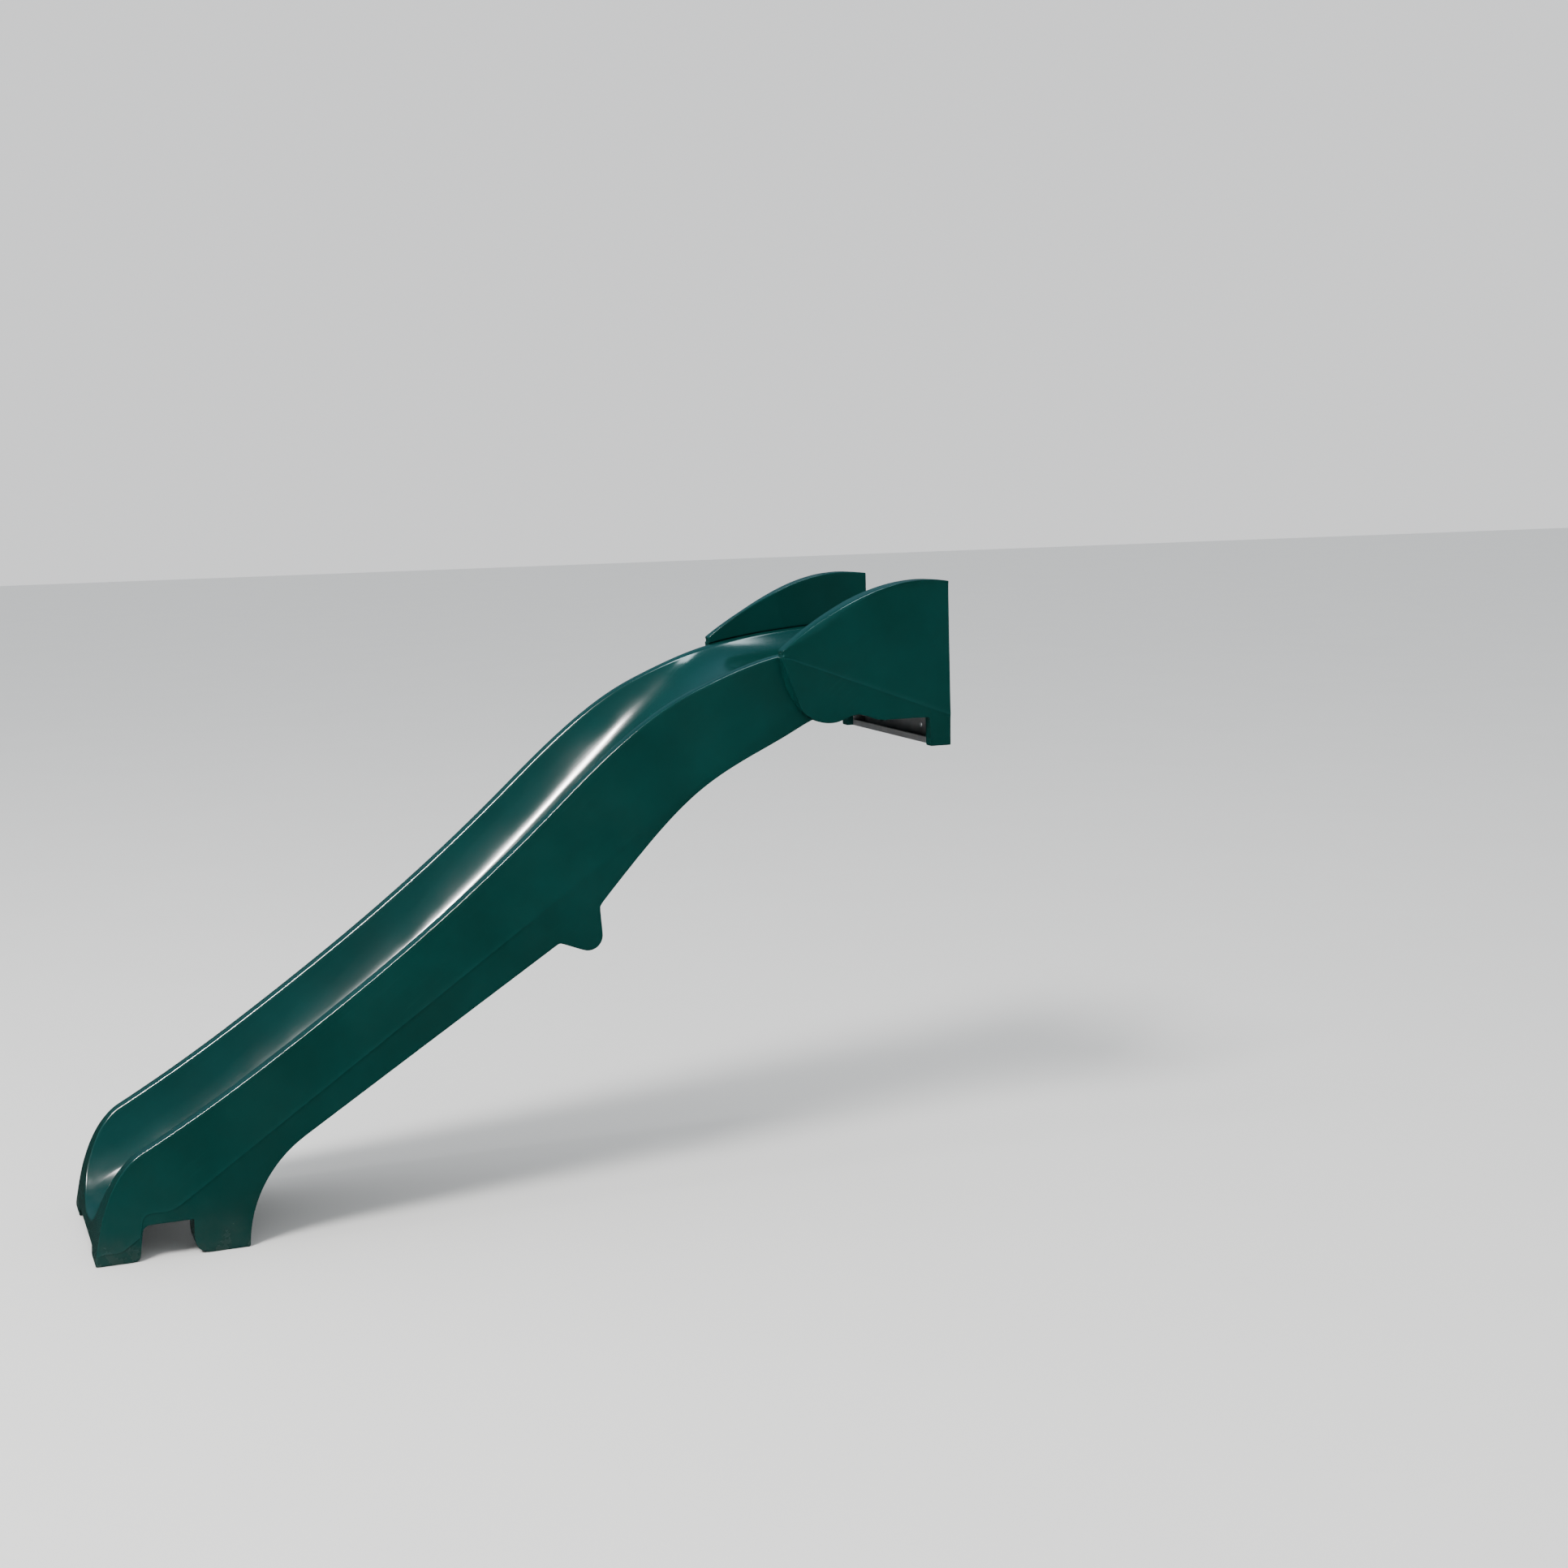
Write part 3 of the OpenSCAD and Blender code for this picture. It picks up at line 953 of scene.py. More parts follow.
@dataclass
class Chute:
    """The chute: trough, rolled rims, side beams with their notched feet and lugs.

    Attributes:
        shape: Its sizes and curves.
        hold: How far the lines beside a rounded edge lie from it.
        crown: How far the middle of the rim stands over its edges.
        ridge: How far the parting line stands out of the sides.
        ridge_half: Half the parting line's width.
        ridge_fade: Stations between which the parting line sinks into the sides.
        blur_from: Station behind which the crease softens.
        blur: How fast it softens, as a width over a length.
        exit_in_z: Height of the corner where the rim's inner edge turns into the exit's edge.
        exit_out_z: Height of the corner where the rim's outer edge turns into the front of the foot.
        toe_r: Radius of the front pad's rear corner.
        notch_r: Radius of the notch's front top corner.
        notch_lean: How far the notch's front leans back.
        pad_r: Radius of the rear pad's front corner.
        heel_end: Angle at which the heel's curve runs into the straight lower edge, in degrees.
        lug_r: Radius of the lug's rounded end.
        lug_foot: How far in front of the lug, and under it, its slope starts.
    """

    shape: WaveShape = field(default_factory=WaveShape)
    hold: float = 0.0055
    crown: float = 0.002
    ridge: float = 0.0020
    ridge_half: float = 0.002
    ridge_fade: Flat = (0.75, 1.25)
    blur_from: float = 0.85
    blur: float = 0.09
    exit_in_z: float = 0.097
    exit_out_z: float = 0.077
    toe_r: float = 0.012
    notch_r: float = 0.015
    notch_lean: float = 0.005
    pad_r: float = 0.028
    heel_end: float = 123.0
    lug_r: float = 0.030
    lug_foot: Flat = (0.062, 0.008)

    # Lines across the rim's flat top, and the line down the side that is the parting crease.
    RIM_BAND = 5
    CREASE_LINE = 5
    # Lines along the trough as shares of its half width, closer together where it turns up.
    SPREAD = (0.0, 0.17, 0.34, 0.50, 0.63, 0.66, 0.675, 0.69, 0.705, 0.72, 0.735, 0.76, 0.785, 0.80,
              0.815, 0.835, 0.855, 0.875, 0.895, 0.915, 0.935, 0.955, 0.975, 1.0)

    def __post_init__(self) -> None:
        """Works out the path of the rim and the ends of the exit's corners."""
        self.path = RimPath(self.shape)
        self.first = self.path.place_of(self.exit_out_z)
        self.first_in = self.path.place_of(self.exit_in_z)
        x, z = self.path.at(self.first_in)
        self.exit_half = self.inner_half(x, z)
        self.lip_x = self.exit_edge(0.0)[0]

    def inner_half(self, x: float, z: float) -> float:
        """Works out where the trough's side reaches a height.

        Args:
            x: Station.
            z: The height.

        Returns:
            The distance from the middle.
        """
        bed = self.shape.bed.height(x)
        share = max(0.0, (z - bed) / (self.shape.rim.height(x) - bed))
        return self.shape.trough_half * share ** (1 / self.shape.trough_power)

    def exit_edge(self, w: float) -> Flat:
        """Works out where the trough meets the rounded front.

        Args:
            w: Distance from the middle.

        Returns:
            Station and height of the exit's edge there.
        """
        z = solve(lambda h: h - self.shape.trough(self.path.front_x(h), w), 0.0, self.shape.rim_start_h)
        return self.path.front_x(z), z

    def outline(self) -> list[Paired]:
        """Draws the side's lower outline from the toe to the deck.

        Returns:
            Its points, each with the place on the rim that it is joined to.
        """
        s, h = self.shape, self.hold
        toe, toe_top = (s.pad_len - self.toe_r, self.toe_r), (s.pad_len, 0.011)
        notch = (s.pad_len + self.notch_lean + self.notch_r, s.notch_h - self.notch_r)
        notch_end = s.pad_len + s.notch_len
        pad = (notch_end + self.pad_r, self.pad_r)
        heel = arc((s.foot_len + s.heel_r, 0.0), s.heel_r, 180, self.heel_end, 13)
        lug = s.wave(0.62, 0.4225, 0)[:2]
        lug_end = arc(lug, self.lug_r, -112, 30, 8)
        lug_foot = (lug[0] - self.lug_foot[0], lug[1] - self.lug_foot[1])
        edge_start, edge_end, curve_steps = s.edge.rows[0][:2], s.edge_end, 23
        curve_x = [edge_start[0] + (edge_end[0] - edge_start[0]) * i / curve_steps
                   for i in range(curve_steps + 1)]
        return pair_up(((0.0, 0.0), self.first), [
            (even_line((0.0, 0.0), (toe[0], 0.0), 7, h), 0.072),
            (arc(toe, self.toe_r, 270, 355, 3), 0.082),
            (even_line(toe_top, (s.pad_len + self.notch_lean, notch[1]), 2), 0.095),
            (arc(notch, self.notch_r, 180, 90, 3), 0.116),
            (even_line((notch[0], s.notch_h), (notch_end, s.notch_h), 4, 0, h), 0.200),
            (even_line((notch_end, s.notch_h), (notch_end, self.pad_r), 2, h), 0.222),
            (arc(pad, self.pad_r, 180, 270, 4), 0.250),
            (even_line((pad[0], 0.0), (s.foot_len, 0.0), 4, 0, h), 0.300),
            ([heel[0], (s.foot_len + 0.0001, h), *heel[1:]], 0.470),
            (even_line(heel[-1], lug_foot, 22, 0, 0.010), 0.945),
            (even_line(lug_foot, lug_end[0], 2, 0.010), 0.975),
            (lug_end, 1.015),
            (even_line(lug_end[-1], edge_start, 3, 0, 0.006), 1.032),
            ([(x, s.edge.height(x)) for x in curve_x], edge_end[0]),
            (even_line(edge_end, (s.beam_end, s.beam_low), 7, 0, h), s.run - 0.056),
            (even_line((s.beam_end, s.beam_low), (s.beam_end, s.under_h), 3, h, h), s.run - 0.034),
            (even_line((s.beam_end, s.under_h), (s.run, s.under_h), 2, h, h), s.run),
        ])

    def row(self, foot: Flat, place: float) -> Row:
        """Works out a cross row.

        Args:
            foot: Its point on the lower outline.
            place: Its place on the rim's path.

        Returns:
            The row.
        """
        s = self.shape
        if place >= s.rim_x:
            inner = (place, s.trough_half, s.rim.height(place))
            return Row(place, place, place, inner, self.path.at(place), foot)
        gone = (s.rim_x - place) / (s.rim_x - self.first)
        x, z = self.path.at(s.rim_x - gone * (s.rim_x - self.first_in))
        under_front = self.path.front_x(s.under(0.0))
        return Row(place, s.rim_x + (self.lip_x - s.rim_x) * gone, s.rim_x + (under_front - s.rim_x) * gone,
                   (x, self.inner_half(x, z), z), self.path.at(place), foot)

    def bend(self, share: float) -> float:
        """Works out how far along from the lip's middle a place in the exit's edge lies.

        Args:
            share: How far out it lies, as a share of the corner's distance.

        Returns:
            How far along it lies, as a share of the corner's.
        """
        corner = self.exit_edge(self.exit_half)[0]
        return (self.exit_edge(share * self.exit_half)[0] - self.lip_x) / (corner - self.lip_x)

    @cached_property
    def bends(self) -> list[float]:
        """The bend of each line along the trough."""
        return [self.bend(share) for share in self.SPREAD]

    def half_ring(self, row: Row) -> list[Point]:
        """Draws half a cross row, from the middle of the bed round to the middle of the underside.

        Args:
            row: The row.

        Returns:
            Its points.
        """
        s, at_front = self.shape, row.place <= self.first
        points: list[Point] = []
        for share, bend in zip(self.SPREAD, self.bends):
            x = row.middle_x + (row.inner[0] - row.middle_x) * bend
            w = share * row.inner[1]
            points.append((x, w, s.trough(x, w)))
        outer = (row.outer[0], s.side(*row.outer), row.outer[1])
        crown_run = 0.05
        raised = self.crown * clamp((row.place - s.rim_x) / crown_run, 0.0, 1.0)
        for f in held_shares(math.dist(points[-1], outer), (0.33, 0.67), self.hold)[1:]:
            x, y, z = mix(points[len(self.SPREAD) - 1], outer, f)
            on_front = self.path.front_x(z) if row.place < s.rim_x else x
            points.append((on_front, y, z + raised * 4 * f * (1 - f)))
        shares, (full, gone) = self.side_shares(row), self.ridge_fade
        proud = 0.0 if at_front else self.ridge * clamp((gone - row.place) / (gone - full), 0.0, 1.0)
        for f in shares[1:]:
            x, z = mix(row.outer, row.foot, f)
            x = self.path.front_x(z) if at_front else x
            points.append((x, s.side(x, z) + (proud if f == shares[self.CREASE_LINE] else 0.0), z))
        x, out, z = points[-1]
        points += [(x, out + (s.beam_in - out) * f, z)
                   for f in held_shares(s.beam_w, (0.5,), self.hold)[1:]]
        top = (row.under_x, s.under(row.under_x))
        for f in held_shares(math.dist((x, z), top), (0.5,), self.hold)[1:]:
            px, pz = mix((x, z), top, f)
            points.append((self.path.front_x(pz) if at_front else px, s.beam_in, pz))
        points += [(top[0], s.beam_in * (1 - f), top[1]) for f in (0.05, 0.3, 0.55, 0.78, 1.0)]
        return points

    def side_shares(self, row: Row) -> list[float]:
        """Places a row's lines down the side, with the parting crease on one of them.

        Args:
            row: The row.

        Returns:
            Shares of the way from the rim to the lower outline.
        """
        length = math.dist(row.outer, row.foot)
        above, below = self.shape.off_crease(*row.outer), self.shape.off_crease(*row.foot)
        crease = above / (above - below) if above > 0 > below else (0.9 if above > 0 else 0.1)
        short, clear = 0.1, 0.024
        margin = 0.25 if length < short else clear / length
        crease = clamp(crease, margin, 1 - margin)
        soft = (self.ridge_half + self.blur * max(0.0, row.outer[0] - self.blur_from)) / length
        soft = min(soft, 0.4 * crease, 0.4 * (1 - crease), 0.5 * margin)
        edge = min(self.hold / length, 0.35 * margin)
        upper = [edge + (crease - soft - edge) * s for s in (1 / 3, 2 / 3)]
        lower = [crease + soft + (1 - edge - crease - soft) * s for s in (1 / 3, 2 / 3)]
        return [0.0, edge, *upper, crease - soft, crease, crease + soft, *lower, 1 - edge, 1.0]

    def cap(self, ring: list[Point], station: Callable[[float], float]) -> list[list[Point]]:
        """Closes an end between the top line and the line under it.

        Args:
            ring: The end's half ring.
            station: Gives the station of the end's surface at a height.

        Returns:
            The sheet.
        """
        last, band = len(self.SPREAD) - 1, self.RIM_BAND
        rows = []
        for m in range(last + 1):
            a, b = ring[last - m], ring[last + band + m]
            if m == 0:
                rows.append(ring[last:last + band + 1])
                continue
            line = [mix(a, b, f) for f in held_shares(math.dist(a, b), (0.33, 0.67), self.hold)[1:-1]]
            rows.append([a, *((station(z), y, z) for _, y, z in line), b])
        return rows

    def build(self) -> bpy.types.Object:
        """Makes the chute's skin.

        Returns:
            The skin.
        """
        rings = [self.half_ring(self.row(*pair)) for pair in self.outline()]
        skin = Skin("chute_skin", -self.shape.run / 2)
        for side in Side:
            skin.sheet(rings, side)
            skin.sheet(self.cap(rings[0], self.path.front_x), side)
            skin.sheet(self.cap(rings[-1], lambda _: self.shape.run), side)
        return skin.finish(2)

    def dress(self, piece: bpy.types.Object, finishes: Finishes) -> None:
        """Puts the skin in the plain chute's place and gives it its finish.

        Args:
            piece: The skin.
            finishes: The slide's finishes.
        """
        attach(piece, BODY)
        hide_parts("chute")
        finishes.dress(piece, Slot.GREEN)


# -------------------------------------------------------------------------------------------- guards


@dataclass
class Guard:
    """A side guard at the entry: a rounded wing with a skirt outside the chute and a tab at the deck.

    Attributes:
        shape: The chute that it stands beside.
        over_bed: Height of its top over the bed.
        tip_over_bed: Height of its front tip over the bed.
        out: How far it stands out past the chute.
        skirt_t: Thickness of its skirt.
        thick: Thickness above the rim.
        gap: Gap to the chute.
        low_z: Height of its lower edge.
        tab_z: Height of the tab's lower end.
        tab_len: Length of the tab.
        tab_r: Radius of the corner where the tab drops.
        nose_len: Length of the rounded nose.
        nose_drop: Depth of the nose's middle under the tip.
        hand_at: Middle of the raised hand hold, behind the tip.
        hand_half: Half the hand hold's length.
        hand_h: Height that the hand hold rises.
        flare: How far its inner face falls back at the tip.
        ridge: How far the parting line stands out of its outer face.
        ridge_half: Half the parting line's width.
        crease_from: A point of the crease, behind the tip and under it.
        crease_fall: Fall of the crease towards the deck, as a slope.
        draft: Draft of the outer face from the crease, as a slope.
        bevel_low: Rounding of the outer top edge at the deck.
        bevel_more: How much larger that is near the tip.
        kink: Top and bottom station of the kink in its inner face.
        hold: How far the lines beside a rounded edge lie from it.
        tight: How far the lines beside the crease lie from it.
    """

    shape: WaveShape = field(default_factory=WaveShape)
    over_bed: float = 0.183
    tip_over_bed: float = 0.048
    out: float = 0.030
    skirt_t: float = 0.028
    thick: float = 0.046
    gap: float = 0.002
    low_z: float = 0.967
    tab_z: float = 0.905
    tab_len: float = 0.047
    tab_r: float = 0.006
    nose_len: float = 0.103
    nose_drop: float = 0.010
    hand_at: float = 0.166
    hand_half: float = 0.056
    hand_h: float = 0.015
    flare: float = 0.014
    ridge: float = 0.0024
    ridge_half: float = 0.0015
    crease_from: Flat = (0.025, 0.022)
    crease_fall: float = 0.3725
    draft: float = 0.008
    bevel_low: float = 0.003
    bevel_more: float = 0.015
    kink: Flat = (1.585, 1.607)
    hold: float = 0.004
    tight: float = 0.0026

    # Lines down the outer face and across the lower edge.
    OUTER_LINES = 12
    UNDER_LINES = 4
    # How far the rounded top edge comes in and down, as shares of its bevel.
    BEVEL_IN = 0.45
    BEVEL_DOWN = 0.2

    def __post_init__(self) -> None:
        """Works out the guard's faces, nose and top edge from the chute's sizes."""
        s = self.shape
        self.face = s.half_w + self.out
        self.skirt = s.half_w + self.gap
        self.inner = self.face - self.thick
        self.tip_z = s.deck_h + self.tip_over_bed
        self.top_z = s.deck_h + self.over_bed
        self.nose = (s.guard_x + self.nose_len, self.tip_z - self.nose_drop)
        self.nose_h = self.nose[1] - self.low_z
        self.top = Knots(((s.guard_x, self.tip_z, 0.8), (s.guard_x + 0.156, self.top_z - 0.040, 0.46),
                          (s.guard_x + 0.315, self.top_z, 0.02), (s.run, self.top_z - 0.004, -0.12)))

    def nose_at(self, angle: float) -> Flat:
        """A point of the rounded nose, by its angle in degrees."""
        a = math.radians(angle)
        return self.nose[0] + self.nose_len * math.cos(a), self.nose[1] + self.nose_h * math.sin(a)

    def nose_x(self, z: float) -> float:
        """Station of the nose at a height."""
        up = clamp((z - self.nose[1]) / self.nose_h, -1.0, 0.0)
        return self.nose[0] - self.nose_len * math.sqrt(1 - up * up)

    def hand_hold(self, x: float) -> float:
        """Height of the lower edge at a station, with its raised hand hold."""
        away = clamp((x - self.shape.guard_x - self.hand_at) / self.hand_half, -1.0, 1.0)
        return self.low_z + self.hand_h * (1 + math.cos(math.pi * away)) / 2

    def outline(self) -> list[Paired]:
        """Draws the lower outline from the nose to the deck.

        Returns:
            Its points, each with the station on the top edge that it is joined to.
        """
        s, low, h, nose_steps, hand_steps = self.shape, self.low_z, self.hold, 5, 11
        nose = [self.nose_at(235 + 35 * i / nose_steps) for i in range(nose_steps + 1)]
        start, end, step_x = nose[-1][0], s.guard_x + 0.224, s.run - self.tab_len
        hand_x = [start + (end - start) * i / hand_steps for i in range(hand_steps + 1)]
        corner = (step_x - self.tab_r, low - self.tab_r)
        return self.with_kink(pair_up((nose[0], s.guard_x), [
            (nose, s.guard_x + 0.066),
            ([(x, self.hand_hold(x)) for x in hand_x], s.guard_x + 0.220),
            (even_line((end, low), (corner[0], low), 4), s.run - 0.066),
            (arc(corner, self.tab_r, 90, 0, 2), s.run - 0.058),
            (even_line((step_x, corner[1]), (step_x, self.tab_z), 2, 0, h), s.run - 0.042),
            (even_line((step_x, self.tab_z), (s.run, self.tab_z), 2, h, h), s.run),
        ]))

    def with_kink(self, rows: list[Paired]) -> list[Paired]:
        """Adds the rows that keep the kink crisp, and one close behind the nose.

        Args:
            rows: The outline's points with their stations on the top edge.

        Returns:
            The same with the new ones, in order.
        """
        extra = [self.kink[0] + away for away in (-self.hold, 0.0, self.hold)]
        kept = [r for r in rows if all(abs(r[1] - x) > self.hold for x in extra)]
        for x in extra:
            a, b = next((a, b) for a, b in zip(rows, rows[1:]) if a[1] <= x <= b[1])
            kept.append((mix(a[0], b[0], (x - a[1]) / (b[1] - a[1])), x))
        behind = 0.4
        kept.append((mix(rows[0][0], rows[1][0], behind), mix((rows[0][1],), (rows[1][1],), behind)[0]))
        return sorted(kept, key=lambda row: row[1])

    def ledge(self, top_x: float) -> Flat:
        """Finds where a row crosses the rim of the chute.

        Args:
            top_x: The row's station on the top edge.

        Returns:
            Station and height there.
        """
        s = self.shape
        lean = self.kink[1] - self.kink[0]
        ahead = (top_x - s.guard_x) / (self.kink[0] - s.guard_x)
        behind = (s.run - top_x) / (s.run - self.kink[0])
        x = top_x + lean * clamp(min(ahead, behind), 0.0, 1.0)
        return x, s.rim.height(x) + self.gap

    def inner_face(self, x: float, z: float) -> float:
        """Works out how far out the inner face lies above the rim, fallen back in front of its kink.

        Args:
            x: Station.
            z: Height.

        Returns:
            The distance from the middle.
        """
        high_z, low_z = self.top.height(self.kink[0]), self.shape.rim.height(self.kink[1]) + self.gap
        share = clamp((high_z - z) / (high_z - low_z), 0.0, 1.0)
        kink_x = self.kink[0] + (self.kink[1] - self.kink[0]) * share
        back = clamp((kink_x - x) / (kink_x - self.shape.guard_x), 0.0, 1.0)
        return self.inner + self.flare * back

    def outer_face(self, x: float, z: float) -> float:
        """Distance of the outer face from the middle, with its slight draft from the crease."""
        away = abs(z - self.crease_z(x))
        return self.face - self.draft * away - self.ridge * clamp(away / self.ridge_half, 0.0, 1.0)

    def crease_z(self, x: float) -> float:
        """Height of the crease in the outer face."""
        back, down = self.crease_from
        return self.tip_z - down - self.crease_fall * (x - self.shape.guard_x - back)

    def bevel(self, x: float) -> float:
        """Size of the rounding along the outer top edge, which fades towards the deck."""
        fade_len, fade_end = 0.22, self.shape.guard_x + 0.270
        return self.bevel_low + self.bevel_more * clamp((fade_end - x) / fade_len, 0.0, 1.0)

    def ring(self, foot: Flat, top_x: float, at_nose: bool) -> list[Point]:
        """Draws a row round the guard: down the outer face, across, up the inner face and over the top.

        Args:
            foot: The row's point on the lower outline.
            top_x: Its station on the top edge.
            at_nose: Whether it is the row that follows the nose.

        Returns:
            Its points, with the first one given again as the last.
        """
        top = (top_x, self.top.height(top_x))
        rim_z = self.shape.rim.height(top_x) + self.gap
        ledge = (self.nose_x(rim_z), rim_z) if at_nose else self.ledge(top_x)
        length, over = math.dist(top, foot), math.dist(top, ledge)
        bevel = min(self.bevel(top_x), 0.3 * over)
        at_ledge = over / (over + math.dist(ledge, foot))
        shares = self.outer_shares(length, bevel, at_ledge, self.crease_share(top, foot, at_ledge))
        places = [self.along(top, foot, share, at_nose) for share in shares]
        outer = [(x, self.outer_face(x, z), z) for x, z in places]
        edge_y, edge_drop = self.face - self.BEVEL_IN * bevel, self.BEVEL_DOWN * bevel
        outer[0] = (top[0], edge_y, top[1] - edge_drop)
        across = held_shares(self.skirt_t, (0.5,), self.hold)
        under = [(foot[0], outer[-1][1] + (self.skirt - outer[-1][1]) * f, foot[1]) for f in across[1:]]
        skirt = [self.along(foot, ledge, f, at_nose) for f in held_shares(
            math.dist(foot, ledge), (0.33, 0.67), self.hold)[1:]]
        ledge_y = self.inner_face(*ledge)
        points = [*outer, *under, *((x, self.skirt, z) for x, z in skirt)]
        points += [(ledge[0], self.skirt + (ledge_y - self.skirt) * f, ledge[1]) for f in (0.5, 1.0)]
        rise = [self.along(ledge, top, f, at_nose) for f in held_shares(
            math.dist(ledge, top), (0.5,), self.hold)[1:]]
        points += [(x, self.inner_face(x, z), z) for x, z in rise]
        top_y = points[-1][1]
        width = edge_y - top_y
        hold, wide = self.hold / width, min(0.45, bevel / width)
        points += [(top[0], top_y + width * f, top[1] - edge_drop * f**3)
                   for f in (hold, 0.5, 1 - wide, 1.0)]
        return points

    def outer_shares(self, length: float, bevel: float, at_ledge: float, crease: float) -> list[float]:
        """Places a row's lines down the outer face.

        Args:
            length: Length of the row.
            bevel: Size of its rounding at the top.
            at_ledge: Share of its length at the ledge.
            crease: Share of its length at the crease.

        Returns:
            Shares of the way from the top edge to the lower outline.
        """
        tight, under_ledge = self.tight / length, crease - at_ledge
        low = max(1 - self.hold / length, crease + 2 * tight)
        return [0.0, bevel / length, 0.45 * at_ledge, 0.75 * at_ledge, at_ledge,
                at_ledge + under_ledge * 0.4, at_ledge + under_ledge * 0.7,
                crease - tight, crease, crease + tight, low, 1.0]

    def along(self, a: Flat, b: Flat, share: float, at_nose: bool) -> Flat:
        """A point between two others, on the nose's curve where the row follows it."""
        x, z = mix(a, b, share)
        return (self.nose_x(z), z) if at_nose and z < self.nose[1] else (x, z)

    def crease_share(self, top: Flat, foot: Flat, at_ledge: float) -> float:
        """Finds where a row crosses the outer face's crease, clear of the ledge and the lower edge.

        Args:
            top: The row's point on the top edge.
            foot: Its point on the lower outline.
            at_ledge: Share of its length at the ledge.

        Returns:
            Share of its length at the crease.
        """
        over, under = top[1] - self.crease_z(top[0]), foot[1] - self.crease_z(foot[0])
        share = over / (over - under) if over > 0 > under else (1.0 if over > 0 else 0.0)
        return clamp(share, at_ledge + 0.04, 0.95)

    def cap(self, ring: list[Point]) -> list[list[Point]]:
        """Closes an end between the outer and the inner face.

        Args:
            ring: The end's row.

        Returns:
            The sheet.
        """
        last, across = self.OUTER_LINES - 1, self.UNDER_LINES
        inner = ring[last + across:2 * last + across + 1]
        top = ring[2 * last + across:]
        rows = [list(reversed(top))]
        for m in range(1, last):
            a, b = ring[m], inner[last - m]
            rows.append([mix(a, b, f) for f in held_shares(math.dist(a, b), (0.5,), self.hold)])
        rows.append(ring[last:last + across + 1])
        return rows

    def build(self, side: Side) -> bpy.types.Object:
        """Makes the guard's skin.

        Args:
            side: The side of the slide that it is for.

        Returns:
            The skin.
        """
        rings = [self.ring(foot, top_x, i == 0) for i, (foot, top_x) in enumerate(self.outline())]
        skin = Skin(f"{side.name.lower()}_guard_skin", -self.shape.run / 2)
        skin.sheet(rings, side)
        skin.sheet(self.cap(rings[0]), side)
        skin.sheet(self.cap(rings[-1]), side)
        return skin.finish(2)

    def dress(self, piece: bpy.types.Object, side: Side, finishes: Finishes) -> None:
        """Puts the skin in the plain guard's place and gives it its finish.

        Args:
            piece: The skin.
            side: The side of the slide that it is for.
            finishes: The slide's finishes.
        """
        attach(piece, BODY)
        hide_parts(f"{side.name.lower()}_guard")
        finishes.dress(piece, Slot.GREEN)


# -------------------------------------------------------------------------------------------- hanger


@dataclass
class Hanger:
    """The steel cross bracket with its gussets and end plates, and the welds between them.

    Attributes:
        plate_t: Thickness of its plates.
        bead_r: Radius of a weld bead.
        ripple: Length of one ripple of a bead.
        plates: The nodes that keep their own solids.
    """

    plate_t: float = 0.004
    bead_r: float = 0.0022
    ripple: float = 0.0028
    plates: tuple[str, ...] = ("hanger_bracket", "hanger_gussets", "hanger_end_plates")

    def bead(self, start: Point, end: Point, out: Sequence[Point]) -> list[list[Point]]:
        """Draws the rippled surface of one weld bead.

        Args:
            start: Its first point, in the corner that it fills.
            end: Its last point.
            out: The two directions that the corner opens to.

        Returns:
            Its rows of points.
        """
        a, b = Vector(start), Vector(end)
        u, v = Vector(out[0]), Vector(out[1])
        length = (b - a).length
        steps = max(6, int(length / self.ripple * 4))
        turns = [math.radians(-12 + 114 * j / 6) for j in range(7)]
        rows = []
        for i in range(steps + 1):
            share = i / steps
            size = self.bead_r * (1 + 0.14 * math.sin(2 * math.pi * share * length / self.ripple))
            size *= min(1.0, 0.35 + 6 * min(share, 1 - share))
            middle = a.lerp(b, share)
            ring = [middle - (u + v) * size * 0.3]
            ring += [middle + (u * math.cos(t) + v * math.sin(t)) * size for t in turns]
            ring.append(ring[0])
            rows.append([tuple(p) for p in ring])
        return rows

    def build_welds(self) -> bpy.types.Object:
        """Makes the beads along the gussets and inside the end plates.

        Returns:
            The beads.
        """
        skin = Skin("hanger_welds", 0.0)
        low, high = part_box("hanger_gussets")
        nib, end_gap, half_t = 0.003, 0.004, self.plate_t / 2
        gusset_y = high.y - half_t
        for side in Side:
            for face in (-1, 1):
                y = gusset_y * side.value + half_t * face
                skin.sheet(self.bead((high.x, y, low.z + nib), (high.x, y, high.z - end_gap),
                                     ((-1, 0, 0), (0, face, 0))))
                skin.sheet(self.bead((low.x + end_gap, y, high.z), (high.x - end_gap, y, high.z),
                                     ((0, 0, -1), (0, face, 0))))
        low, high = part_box("hanger_end_plates")
        web_x = high.x - self.plate_t
        for side in Side:
            y = (high.y - self.plate_t) * side.value
            skin.sheet(self.bead((web_x, y, low.z + 0.006), (web_x, y, high.z - 0.002),
                                 ((-1, 0, 0), (0, -side.value, 0))))
        return skin.finish(0)

    def dress(self, welds: bpy.types.Object, finishes: Finishes) -> list[bpy.types.Object]:
        """Puts the welds on the plates and gives them all their finish.

        Args:
            welds: The beads.
            finishes: The slide's finishes.

        Returns:
            The dressed pieces.
        """
        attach(welds, BODY)
        pieces = [welds, *(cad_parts[name] for name in self.plates)]
        for piece in pieces:
            finishes.dress(piece, Slot.STEEL)
        return pieces


# ------------------------------------------------------------------------------------------ fixings


